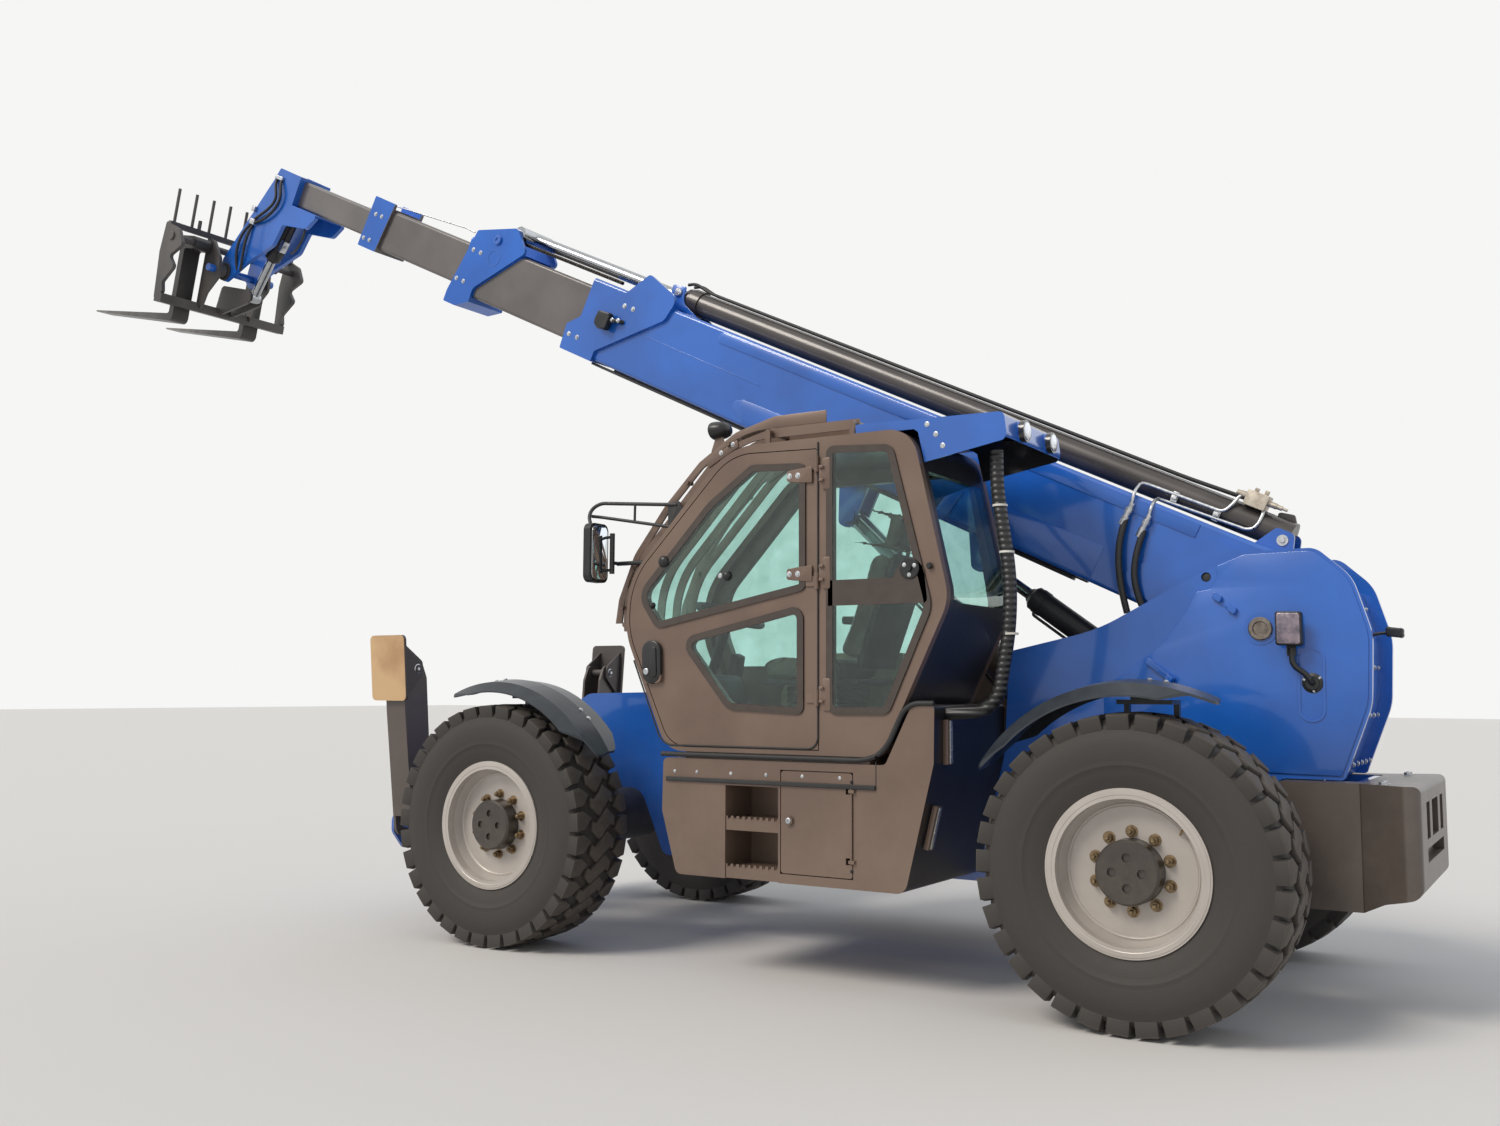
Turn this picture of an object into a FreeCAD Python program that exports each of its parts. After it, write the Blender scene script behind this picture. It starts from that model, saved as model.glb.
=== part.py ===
"""Telescopic handler with a four-section boom, pallet forks and two front stabilisers.

Lengths are in millimetres and angles in degrees. Every piece is drawn in the vehicle's
own frame, whose origin lies on the ground midway between the axles: X forward, Y to the
left, Z up. mid_offset then moves it all so that the origin is under the middle of the
whole length.
"""
import FreeCAD, Part
import math
import os
import Sketcher
from FreeCAD import Placement, Rotation, Vector

doc = FreeCAD.newDocument("telehandler")
sheet = doc.addObject("Spreadsheet::Sheet", "Sizes")

# Driving dimensions: alias, value, meaning
SIZES = (
    ("mid_offset", -2157, "mid-wheelbase from the middle of the whole length"),
    ("seat_gap", 0.3, "gap between curved faces of two bodies that fit"),
    ("side_gap", 5, "gap beside a part that moves"),
    # wheels and axles
    ("wheelbase", 3600, "distance between the axles"),
    ("track", 2080, "between the middles of the left and right tyres"),
    ("tyre_radius", 675, "wheel centre to the lugs' tips"),
    ("tyre_width", 445, "over the sidewalls"),
    ("lug_depth", 26, "height of the tread lugs"),
    ("flange_radius", 355, "rim flange"),
    ("bead_radius", 322, "rim seat of the tyre's bead"),
    ("well_radius", 298, "rim well"),
    ("rim_width", 380, "over the rim flanges"),
    ("rim_wall", 12, "thickness of the rim barrel"),
    ("disc_face", 95, "outer face of the wheel disc from the tyre's middle"),
    ("disc_wall", 18, "thickness of the wheel disc"),
    ("hub_radius", 138, "planetary hub drum"),
    ("hub_face", 184, "outer face of the hub drum from the tyre's middle"),
    ("hub_foot", -20, "inner face of the hub drum from the tyre's middle"),
    ("nut_circle", 335, "pitch circle of the wheel nuts"),
    ("kingpin_spread", 1600, "between the kingpins of one axle"),
    ("kingpin_radius", 36, "kingpin"),
    ("knuckle_half", 150, "half the height of the knuckle barrel"),
    ("axle_radius", 100, "axle tube"),
    ("fender_radius", 800, "fender, from the wheel centre"),
    ("fender_lean", 16.5, "lean of the fenders towards the cab"),
    # frame
    ("frame_half", 290, "inner face of a frame plate from the middle"),
    ("frame_wall", 25, "thickness of a frame plate"),
    ("tower_wall", 30, "thickness of a boom tower plate"),
    ("belly_height", 460, "underside of the frame"),
    ("arch_height", 845, "frame's underside over the axles"),
    ("nose_x", 2655, "front end of the frame plates"),
    ("frame_top", 1410, "top of the frame plates ahead of the cab"),
    ("weight_rear", -2855, "rear face of the counterweight"),
    ("weight_top", 1038, "top of the counterweight"),
    # boom
    ("tie_x", -1946, "tie-down hole in each tower plate"),
    ("tie_z", 1983, "tie-down hole in each tower plate"),
    ("tie_radius", 23, "tie-down hole in each tower plate"),
    ("pivot_x", -2190, "boom pivot"),
    ("pivot_z", 1731, "boom pivot"),
    ("pivot_pin", 45, "radius of the boom pivot pin"),
    ("boom_angle", 25.7, "boom above the horizontal as it stands"),
    ("boom_axis", 110, "boom centreline above the pivot, square to the boom"),
    ("outer_deep", 500, "outer section, height"),
    ("outer_wide", 360, "outer section, width"),
    ("second_deep", 395, "second section, height"),
    ("second_wide", 300, "second section, width"),
    ("third_deep", 305, "third section, height"),
    ("third_wide", 244, "third section, width"),
    ("fourth_deep", 208, "fourth section, height"),
    ("fourth_wide", 190, "fourth section, width"),
    ("boom_wall", 10, "wall of the boom sections"),
    ("outer_rear", -230, "rear end of the outer section"),
    ("outer_front", 4820, "front end of the outer section"),
    ("second_front", 6030, "front end of the second section"),
    ("third_front", 7120, "front end of the third section"),
    ("fourth_front", 8000, "front end of the fourth section"),
    ("inner_length", 5000, "length of each inner section"),
    ("collar_wall", 22, "thickness of the collars round the section ends"),
    # boom head and carriage
    ("nose_u", 8535, "fork pivot along the boom"),
    ("nose_n", -705, "fork pivot square to the boom"),
    ("nose_pin", 30, "radius of the fork pivot pin"),
    ("leg_half", 110, "inner face of a boom head plate from the middle"),
    ("leg_wall", 35, "thickness of a boom head plate"),
    ("carriage_pitch", 12.5, "fork blades above the horizontal as it stands"),
    ("carriage_half", 590, "half the width of the carriage"),
    ("fork_spread", 660, "between the middles of the forks"),
    ("fork_width", 145, "width of a fork"),
    ("fork_tip", 1270, "fork tip ahead of the fork pivot"),
    ("fork_drop", -480, "underside of the blades from the fork pivot"),
    # cab
    ("cab_left", 1180, "left face of the cab"),
    ("cab_right", 360, "right face of the cab"),
    ("cab_wall", 45, "thickness of the cab walls and the door"),
    ("cab_floor", 1120, "underside of the cab"),
    ("cab_top", 2684, "top of the cab"),
    ("door_hinge", -287, "door hinge line"),
    ("glass_wall", 8, "thickness of the glass"),
    # lower boxes
    ("box_floor", 495, "underside of the boxes beside the frame"),
    ("box_top", 1085, "top of the step box"),
    ("box_face", 1178, "outer face of the step box"),
    ("hood_face", -1190, "outer face of the engine hood"),
    ("hood_top", 1560, "top of the engine hood"),
    ("pod_rear", -890, "rear end of the engine pod"),
    ("hood_hinge_y", -442, "hinge of the engine hood from the middle"),
    ("hood_hinge_up", 20, "hinge of the engine hood above its top"),
    # stabilisers
    ("leg_x", 2760, "middle of the stabiliser legs"),
    ("leg_deep", 160, "stabiliser leg, fore and aft"),
    ("leg_pivot_y", 875, "stabiliser leg pivot from the middle"),
    ("leg_pivot_z", 600, "stabiliser leg pivot above the ground"),
    ("leg_length", 960, "leg pivot to pad pivot"),
    ("leg_lean", 5, "lean of the folded leg outwards"),
    ("leg_pin", 25, "radius of the stabiliser pins"),
    # cylinders
    ("lift_x", -1471.3, "lower pivot of the lift cylinder"),
    ("lift_z", 881.9, "lower pivot of the lift cylinder"),
    ("lift_u", 2390.2, "upper pivot of the lift cylinder along the boom"),
    ("lift_n", -360, "upper pivot of the lift cylinder square to the boom"),
    ("lift_pin", 30, "radius of the lift cylinder pins"),
    ("lift_eye_half", 55, "half the width of the lift cylinder eyes"),
    ("slave_x", -1846.9, "lower pivot of the slave cylinder"),
    ("slave_z", 1289.2, "lower pivot of the slave cylinder"),
    ("slave_u", 1539.7, "upper pivot of the slave cylinder along the boom"),
    ("slave_n", -285, "upper pivot of the slave cylinder square to the boom"),
    ("slave_pin", 22, "radius of the slave cylinder pins"),
    ("slave_eye_half", 35, "half the width of the slave cylinder eyes"),
    ("ext_n", 448, "extension cylinder square to the boom"),
    ("ext_radius", 75, "extension cylinder barrel"),
    ("ext_rod", 40, "extension cylinder rod"),
    ("ext_front", 4100, "front end of the extension barrel along the boom"),
    ("ext_eye_u", 5565, "eye of the extension rod along the boom"),
    ("tilt_u", 8120, "upper pivot of the tilt cylinder along the boom"),
    ("tilt_n", 20, "upper pivot of the tilt cylinder square to the boom"),
    ("tilt_a", -224, "lower pivot of the tilt cylinder ahead of the fork pivot"),
    ("tilt_b", -168, "lower pivot of the tilt cylinder above the fork pivot"),
    ("tilt_pin", 25, "radius of the tilt cylinder pins"),
    ("tilt_eye_half", 40, "half the width of the tilt cylinder eyes"),
    ("leg_foot_y", 200, "inner pivot of a stabiliser cylinder from the middle"),
    ("leg_foot_z", 1120, "inner pivot of a stabiliser cylinder above the ground"),
    ("leg_eye_up", 300, "outer pivot of a stabiliser cylinder up the leg"),
    ("leg_eye_in", 40, "outer pivot of a stabiliser cylinder inside the leg's axis"),
    ("leg_eye_half", 45, "half the width of the stabiliser cylinder eyes"),
)


class Size:
    """A length or angle, with the sheet expression that it comes from."""

    def __init__(self, value, text):
        self.value = float(value)
        self.text = text

    def __add__(self, other):
        other = sized(other)
        return Size(self.value + other.value, "(%s + %s)" % (self.text, other.text))

    def __sub__(self, other):
        other = sized(other)
        return Size(self.value - other.value, "(%s - %s)" % (self.text, other.text))

    def __mul__(self, other):
        other = sized(other)
        return Size(self.value * other.value, "(%s * %s)" % (self.text, other.text))

    def __truediv__(self, other):
        other = sized(other)
        return Size(self.value / other.value, "(%s / %s)" % (self.text, other.text))

    def __radd__(self, other):
        return sized(other) + self

    def __rsub__(self, other):
        return sized(other) - self

    def __rmul__(self, other):
        return sized(other) * self

    def __neg__(self):
        return Size(-self.value, "(0 - %s)" % self.text)


def sized(number):
    """A Size from a plain number, or the Size itself."""
    if isinstance(number, Size):
        return number
    return Size(number, "(%.6f)" % number)


def sine(angle):
    return Size(math.sin(math.radians(angle.value)), "sin(%s * 1 deg)" % angle.text)


def cosine(angle):
    return Size(math.cos(math.radians(angle.value)), "cos(%s * 1 deg)" % angle.text)


def root(square):
    return Size(math.sqrt(square.value), "sqrt(%s)" % square.text)


def bearing(rise, run):
    value = math.degrees(math.atan2(rise.value, run.value))
    return Size(value, "(atan2(%s; %s) / 1 deg)" % (rise.text, run.text))


class Sizes:
    """The sheet's values by alias."""


def fill_sheet():
    """Write the driving dimensions to the sheet and return them by alias."""
    table = Sizes()
    for row, (alias, value, meaning) in enumerate(SIZES, start=1):
        sheet.set("A%d" % row, meaning)
        sheet.set("B%d" % row, str(value))
        sheet.setAlias("B%d" % row, alias)
        setattr(table, alias, Size(value, "Sizes." + alias))
    doc.recompute()
    return table


d = fill_sheet()
nodes = {}


def bind(item, path, size):
    """Tie a property to the sheet."""
    item.setExpression(path, sized(size).text)


def outline(sketch, corners):
    """Draw a closed outline: each corner is (across, up) or (across, up, rounding)."""
    spots = [Vector(sized(c[0]).value, sized(c[1]).value, 0) for c in corners]
    count = len(spots)
    turns = []
    for i, corner in enumerate(corners):
        back = (spots[i - 1] - spots[i]).normalize()
        ahead = (spots[(i + 1) % count] - spots[i]).normalize()
        radius = sized(corner[2]).value if len(corner) > 2 else 0
        half = back.getAngle(ahead) / 2
        cut = radius / math.tan(half)
        turns.append((back, ahead, radius, half, cut))
    first = sketch.GeometryCount
    for i in range(count):
        after = (i + 1) % count
        start = spots[i] + turns[i][1] * turns[i][4]
        end = spots[after] + turns[after][0] * turns[after][4]
        sketch.addGeometry(Part.LineSegment(start, end), False)
    for i, corner in enumerate(corners):
        back, ahead, radius, half, cut = turns[i]
        line = first + i
        before = first + (i - 1) % count
        if radius:
            centre = spots[i] + (back + ahead).normalize() * (radius / math.sin(half))
            come = spots[i] + back * cut - centre
            leave = spots[i] + ahead * cut - centre
            left_turn = back.cross(ahead).z < 0
            ends = (come, leave) if left_turn else (leave, come)
            low, high = [math.atan2(e.y, e.x) for e in ends]
            if high < low:
                high += 2 * math.pi
            circle = Part.Circle(centre, Vector(0, 0, 1), radius)
            arc = sketch.addGeometry(Part.ArcOfCircle(circle, low, high), False)
            apex = sketch.addGeometry(Part.Point(spots[i]), True)
            come_end, leave_end = (1, 2) if left_turn else (2, 1)
            sketch.addConstraint(Sketcher.Constraint("Tangent", before, 2, arc, come_end))
            sketch.addConstraint(Sketcher.Constraint("Tangent", arc, leave_end, line, 1))
            sketch.addConstraint(Sketcher.Constraint("PointOnObject", apex, 1, before))
            sketch.addConstraint(Sketcher.Constraint("PointOnObject", apex, 1, line))
            hold(sketch, Sketcher.Constraint("Radius", arc, radius), corner[2])
            pin_down(sketch, apex, spots[i], corner)
        else:
            sketch.addConstraint(Sketcher.Constraint("Coincident", before, 2, line, 1))
            pin_down(sketch, line, spots[i], corner)


def hold(sketch, constraint, size):
    """Add a dimension and tie it to the sheet."""
    index = sketch.addConstraint(constraint)
    sketch.setExpression("Constraints[%d]" % index, sized(size).text)


def pin_down(sketch, item, spot, corner):
    """Fix the start of a line, or a point, at its two coordinates."""
    hold(sketch, Sketcher.Constraint("DistanceX", item, 1, spot.x), corner[0])
    hold(sketch, Sketcher.Constraint("DistanceY", item, 1, spot.y), corner[1])


def ring(sketch, across, up, radius):
    """Draw a circle."""
    centre = Vector(sized(across).value, sized(up).value, 0)
    circle = Part.Circle(centre, Vector(0, 0, 1), sized(radius).value)
    item = sketch.addGeometry(circle, False)
    hold(sketch, Sketcher.Constraint("Radius", item, sized(radius).value), radius)
    hold(sketch, Sketcher.Constraint("DistanceX", item, 3, centre.x), across)
    hold(sketch, Sketcher.Constraint("DistanceY", item, 3, centre.y), up)


# Sketch plane square to each axis
PLANES = {"x": "YZ_Plane", "y": "XZ_Plane", "z": "XY_Plane"}


def new_sketch(along, offset=0):
    """A body with an empty sketch square to one axis."""
    body = doc.addObject("PartDesign::Body", "Piece")
    sketch = body.newObject("Sketcher::SketchObject", "Outline")
    plane = [f for f in body.Origin.OriginFeatures if f.Role == PLANES[along]][0]
    sketch.AttachmentSupport = [(plane, "")]
    sketch.MapMode = "FlatFace"
    bind(sketch, "AttachmentOffset.Base.z", offset)
    return body, sketch


def plate(corners, low, high, along="y", windows=(), holes=()):
    """An outline padded from low to high along an axis, with windows and round holes."""
    low, high = sized(low), sized(high)
    body, sketch = new_sketch(along, -high if along == "y" else low)
    outline(sketch, corners)
    for window in windows:
        outline(sketch, window)
    for across, up, radius in holes:
        ring(sketch, across, up, radius)
    pad = body.newObject("PartDesign::Pad", "Pad")
    pad.Profile = sketch
    bind(pad, "Length", high - low)
    return body


# Plane and axis of a turned piece's half section, by the axis that it turns about
TURNS = {"x": ("y", "H_Axis"), "y": ("x", "H_Axis"), "z": ("y", "V_Axis")}


def turned(corners, about, sweep=360, windows=()):
    """A half section turned about an axis: (along, radius), or (radius, along) about z."""
    plane, axis = TURNS[about]
    body, sketch = new_sketch(plane)
    outline(sketch, corners)
    for window in windows:
        outline(sketch, window)
    turn = body.newObject("PartDesign::Revolution", "Turn")
    turn.Profile = sketch
    turn.ReferenceAxis = (sketch, [axis])
    turn.Angle = sweep
    return body


# Rotation that points a cylinder along an axis
AIM = {
    "x": Rotation(Vector(0, 1, 0), 90),
    "y": Rotation(Vector(1, 0, 0), -90),
    "z": Rotation(),
}


def rod(along, centre, low, high, radius):
    """A round bar along an axis; centre gives the two other coordinates in XYZ order."""
    low, high = sized(low), sized(high)
    bar = doc.addObject("Part::Cylinder", "Bar")
    bar.Placement = Placement(Vector(), AIM[along])
    bind(bar, "Radius", radius)
    bind(bar, "Height", high - low)
    spot = list(centre)
    spot.insert("xyz".index(along), low)
    for letter, value in zip("xyz", spot):
        bind(bar, "Placement.Base." + letter, value)
    return bar


def block(x, y, z):
    """A box from the (low, high) pair of each axis."""
    box = doc.addObject("Part::Box", "Block")
    for letter, side, (low, high) in zip("xyz", ("Length", "Width", "Height"), (x, y, z)):
        bind(box, side, sized(high) - sized(low))
        bind(box, "Placement.Base." + letter, low)
    return box


def joined(pieces):
    """Several pieces as one."""
    if len(pieces) == 1:
        return pieces[0]
    union = doc.addObject("Part::MultiFuse", "Union")
    union.Shapes = pieces
    union.Refine = True
    return union


def minus(base, tools):
    """A piece with others taken away."""
    cut = doc.addObject("Part::Cut", "Cut")
    cut.Base = base
    cut.Tool = joined(tools)
    cut.Refine = True
    return cut


def shared(base, tool):
    """What two pieces have in common."""
    common = doc.addObject("Part::MultiCommon", "Common")
    common.Shapes = [base, tool]
    common.Refine = True
    return common


def group(pieces):
    """Solids that don't touch, kept as one node."""
    if len(pieces) == 1:
        return pieces[0]
    several = doc.addObject("Part::Compound", "Group")
    several.Links = pieces
    return several


def node(label, piece, x=0, y=0, z=0, turn=None):
    """Name a finished sub-part and set it at its place, turned by (axis, angle) if given."""
    holder = doc.addObject("Part::Compound", "Holder")
    holder.Links = [piece]
    if turn:
        axis, angle = turn
        holder.Placement = Placement(Vector(), Rotation(axis, sized(angle).value))
        bind(holder, "Placement.Rotation.Angle", angle)
    for letter, value in zip("xyz", (x + d.mid_offset, y, z)):
        bind(holder, "Placement.Base." + letter, value)
    holder.Label = label
    nodes[label] = holder
    return holder


def image(piece):
    """The piece's mirror image across its own XZ plane."""
    mirrored = doc.addObject("Part::Mirroring", "Image")
    mirrored.Source = piece
    mirrored.Normal = Vector(0, 1, 0)
    return mirrored


NOSE_UP = Vector(0, -1, 0)
ROLL = Vector(1, 0, 0)
YAW = Vector(0, 0, 1)


# name, end of the vehicle, side
CORNERS = (
    ("fl", 1, 1),
    ("fr", 1, -1),
    ("rl", -1, 1),
    ("rr", -1, -1),
)


def inset(corners, depth):
    """The outline moved inwards by a depth, or outwards if that is negative."""
    depth = sized(depth)
    spots = [Vector(sized(c[0]).value, sized(c[1]).value, 0) for c in corners]
    area = sum(spots[i - 1].cross(spots[i]).z for i in range(len(spots)))
    moved = []
    for i, corner in enumerate(corners):
        back = (spots[i - 1] - spots[i]).normalize()
        ahead = (spots[(i + 1) % len(spots)] - spots[i]).normalize()
        inward = Vector(-ahead.y, ahead.x, 0) * math.copysign(1, area)
        middle = back + ahead
        if middle.Length < 1e-6:
            shift = inward
        else:
            middle.normalize()
            shift = middle / middle.dot(inward)
        bulges = back.cross(ahead).z * area < 0
        spot = (corner[0] + depth * shift.x, corner[1] + depth * shift.y)
        if len(corner) > 2:
            spot += (sized(corner[2]) - depth if bulges else sized(corner[2]) + depth,)
        moved.append(spot)
    return moved


# Wheels, in the wheel's own frame: origin at its centre, Y outwards

LUG_COUNT = 24


def tyre():
    """Tyre carcass with a ring of tread lugs on each side."""
    half = d.tyre_width / 2
    tread = d.tyre_radius - d.lug_depth
    lip = d.rim_width / 2 - d.rim_wall
    carcass = turned(
        (
            (-lip, d.bead_radius + d.seat_gap),
            (lip, d.bead_radius + d.seat_gap),
            (lip, d.flange_radius + 10),
            (half, d.flange_radius + 120),
            (half - 10, tread - 70),
            (half - 60, tread),
            (-half + 60, tread),
            (-half + 10, tread - 70),
            (-half, d.flange_radius + 120),
            (-lip, d.flange_radius + 10),
        ),
        "y",
    )
    lugs = doc.addObject("Part::Feature", "Lugs")
    lugs.Shape = Part.makeCompound([lug_ring(1), lug_ring(-1)])
    return joined([carcass, lugs])


def lug_ring(side):
    """One side's lugs: blocks that lean forward towards the middle of the tread."""
    half = d.tyre_width.value / 2
    foot = d.tyre_radius.value - d.lug_depth.value - 3
    pitch = 2 * math.pi * d.tyre_radius.value / LUG_COUNT
    wide = 0.62 * pitch
    tip = math.sqrt(d.tyre_radius.value ** 2 - (wide / 2) ** 2)
    # place across the tread, lead round the tread
    table = ((half - 4, -0.12 * pitch), (12, 0.12 * pitch))
    sections = []
    for level, flare in ((tip, 0), (foot, 5)):
        spots = [Vector(lead - wide / 2 - flare, side * across, level) for across, lead in table]
        spots += [Vector(lead + wide / 2 + flare, side * across, level)
                  for across, lead in reversed(table)]
        sections.append(Part.makePolygon(spots + spots[:1]))
    lug = Part.makeLoft(sections, True, True)
    lugs = []
    for i in range(LUG_COUNT):
        copy = lug.copy()
        copy.rotate(Vector(), Vector(0, 1, 0), (i + 0.25 * side) * 360 / LUG_COUNT)
        lugs.append(copy)
    return Part.makeCompound(lugs)


def rim():
    """One-piece rim with a deep disc, ten nuts and the planetary hub drum."""
    half = d.rim_width / 2
    seat = d.bead_radius - d.rim_wall
    well = d.well_radius - d.rim_wall
    back = d.disc_face - d.disc_wall
    barrel = turned(
        (
            (-half, seat),
            (-half + 70, seat),
            (-half + 110, well),
            (back, well),
            (back, d.hub_radius - 20),
            (d.disc_face, d.hub_radius - 20),
            (d.disc_face, well, 10),
            (half - 50, seat),
            (half, seat),
            (half, d.flange_radius),
            (half - d.rim_wall, d.flange_radius),
            (half - d.rim_wall, d.bead_radius),
            (half - 60, d.bead_radius),
            (half - 100, d.well_radius),
            (-half + 120, d.well_radius),
            (-half + 70, d.bead_radius),
            (-half + d.rim_wall, d.bead_radius),
            (-half + d.rim_wall, d.flange_radius),
            (-half, d.flange_radius),
        ),
        "y",
    )
    drum = turned(
        (
            (d.hub_foot, 0),
            (d.hub_foot, d.hub_radius - 15),
            (back, d.hub_radius),
            (d.hub_face - 10, d.hub_radius),
            (d.hub_face, d.hub_radius - 10),
            (d.hub_face, 0),
        ),
        "y",
    )
    dimples = []
    for i in range(4):
        angle = math.radians(90 * i)
        spot = (64 * math.cos(angle), 64 * math.sin(angle))
        dimples.append(rod("y", spot, d.hub_face - 12, d.hub_face + 5, 20))
    nuts = []
    for i in range(10):
        angle = math.radians(36 * i + 18)
        spot = (d.nut_circle / 2 * math.cos(angle), d.nut_circle / 2 * math.sin(angle))
        nuts.append(rod("y", spot, d.disc_face - 2, d.disc_face + 26, 15))
    return joined([barrel, minus(drum, dimples)] + nuts)


def knuckle():
    """Steering knuckle, from the kingpin's centre: barrel, spindle, arm and fender lug."""
    reach = (d.track - d.kingpin_spread) / 2 + d.hub_foot - d.seat_gap
    barrel = rod("z", (0, 0), -d.knuckle_half, d.knuckle_half, d.kingpin_radius * 2)
    spindle = turned(
        ((0, 0), (0, 60), (reach / 2, d.hub_radius - 30), (reach, d.hub_radius - 30), (reach, 0)),
        "y",
    )
    lugs = [block((-100, 100), (-28, 28), (-35, 35))]
    bores = [
        rod("z", (0, 0), d.knuckle_half - 50, d.knuckle_half + 5, d.kingpin_radius + d.seat_gap),
        rod("z", (0, 0), -d.knuckle_half - 5, 50 - d.knuckle_half, d.kingpin_radius + d.seat_gap),
    ]
    return minus(joined([barrel, spindle] + lugs), bores)


def fender(lean):
    """Crowned fender over the tyre, leaning towards the cab, with its stay."""
    offset = (d.track - d.kingpin_spread) / 2
    low, high = offset - 185, offset + 200
    arch = d.fender_radius
    shell = turned(
        (
            (low, arch - 40),
            (low + 60, arch - 4),
            (offset, arch + 6),
            (high - 60, arch - 10),
            (high, arch - 60),
            (high, arch - 52),
            (high - 55, arch),
            (offset, arch + 16),
            (low + 55, arch + 6),
            (low - 6, arch - 36),
        ),
        "y",
    )
    leaf = plate(
        (
            (-540, low + 110, 60),
            (-320, low - 20, 200),
            (320, low - 20, 200),
            (545, low + 150, 60),
            (545, high - 60, 60),
            (330, high + 10, 200),
            (-330, high + 10, 200),
            (-560, high - 110, 60),
        ),
        arch * 0.6,
        arch + 40,
        "z",
    )
    crown = shared(shell, leaf)
    crown.Placement = Placement(Vector(), Rotation(NOSE_UP, lean.value))
    bind(crown, "Placement.Rotation.Angle", lean)
    stay = joined([
        block((100, 124), (-28, 2), (-35, arch - 75)),
        block((-124, -100), (-28, 2), (-35, arch - 75)),
        block((-124, 124), (-28, low + 60), (arch - 95, arch - 75)),
        block((-60, 60), (low + 35, low + 60), (arch - 80, arch - 15)),
    ])
    return joined([crown, stay])


def axle():
    """Axle housing with its differential, end yokes, kingpins and mounting pads."""
    king = d.kingpin_spread / 2
    flange = king - 180
    arm = d.knuckle_half + d.seat_gap
    pieces = [
        turned(
            (
                (-flange, 0),
                (-flange, 130),
                (-flange + 30, 130),
                (-flange + 50, d.axle_radius - 10),
                (-330, d.axle_radius),
                (-200, 185, 40),
                (200, 185, 40),
                (330, d.axle_radius),
                (flange - 50, d.axle_radius - 10),
                (flange - 30, 130),
                (flange, 130),
                (flange, 0),
            ),
            "y",
        )
    ]
    for side in (1, -1):
        web = sorted((side * (flange - 20), side * (flange + 30)), key=lambda q: q.value)
        pieces.append(block((-85, 85), web, (-arm - 40, arm + 40)))
        for low, high in ((arm, arm + 40), (-arm - 40, -arm)):
            pieces.append(plate(
                (
                    (-85, side * (flange - 20)),
                    (85, side * (flange - 20)),
                    (85, side * (flange + 40), 20),
                    (54, side * (king - 60), 40),
                    (54, side * (king + 54), 50),
                    (-54, side * (king + 54), 50),
                    (-54, side * (king - 60), 40),
                    (-85, side * (flange + 40), 20),
                ),
                low, high, "z",
            ))
        pieces.append(rod("z", (0, side * king), d.knuckle_half - 40, arm + 55, d.kingpin_radius))
        pieces.append(rod("z", (0, side * king), -arm - 55, 40 - d.knuckle_half, d.kingpin_radius))
        pad = sorted((side * (d.frame_half - 10), side * (d.frame_half + d.frame_wall + 10)),
                     key=lambda q: q.value)
        pieces.append(block((-110, 110), pad, (60, d.arch_height - d.tyre_radius)))
    return joined(pieces)


def wheels():
    """The four corners: knuckle, fender, rim and tyre."""
    for name, end, side in CORNERS:
        x = d.wheelbase / 2 * end
        king = d.kingpin_spread / 2 * side
        middle = d.track / 2 * side
        spin = 0 if side > 0 else 180
        lean = d.fender_lean * (end * side)
        for label, piece, y in (
            ("knuckle_" + name, knuckle(), king),
            ("fender_" + name, fender(lean), king),
            ("rim_" + name, rim(), middle),
            ("tyre_" + name, tyre(), middle),
        ):
            node(label, piece, x, y, d.tyre_radius, (YAW, spin))
    for name, end in (("front", 1), ("rear", -1)):
        node("axle_" + name, axle(), d.wheelbase / 2 * end, 0, d.tyre_radius)


# Frame, tower and counterweight

def both_sides(make):
    """The left and right copies of a piece made for one side by its sign."""
    return [make(1), make(-1)]


def span(side, near, far):
    """The low and high end of a stretch on one side, from its distances to the middle."""
    ends = (side * sized(near), side * sized(far))
    return ends if side > 0 else ends[::-1]


def frame():
    """Two frame plates arched over the axles, with the cross members between them."""
    def side_plate(side):
        return plate(
            (
                (-2600, d.belly_height + 140, 30),
                (-2320, d.belly_height + 140, 60),
                (-2180, d.arch_height, 120),
                (-1430, d.arch_height, 120),
                (-1260, d.belly_height, 60),
                (1250, d.belly_height, 60),
                (1420, d.arch_height, 120),
                (2180, d.arch_height, 120),
                (2320, d.belly_height, 60),
                (d.nose_x, d.belly_height),
                (d.nose_x, 900, 40),
                (1830, d.frame_top, 120),
                (1100, d.frame_top + 15, 150),
                (700, 1060, 200),
                (-700, 1060, 200),
                (-1100, 1250, 200),
                (-2400, 1250, 60),
                (-2440, d.weight_top - 3),
                (-2600, d.weight_top - 3, 20),
            ),
            *span(side, d.frame_half, d.frame_half + d.frame_wall),
        )
    inner = (-d.frame_half, d.frame_half)
    members = [
        block((-1200, 1180), inner, (d.belly_height, d.belly_height + 12)),
        block((-2600, -2570), inner, (d.belly_height + 140, d.weight_top - 3)),
        block((d.nose_x - 25, d.nose_x), inner, (d.belly_height, 900)),
        block((2150, 2175), inner, (d.arch_height + 20, 1050)),
        block((1150, 1175), inner, (d.belly_height, 950)),
        block((-1250, -1225), inner, (d.belly_height, 780)),
        rod("y", (d.lift_x, d.lift_z), *inner, d.lift_pin),
    ]
    eyes = both_sides(lambda side: rod(
        "y", (d.lift_x, d.lift_z), *span(side, d.lift_eye_half + d.side_gap, d.frame_half), 60))
    node("chassis_frame", joined(both_sides(side_plate) + members + eyes + leg_carrier()))


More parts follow.
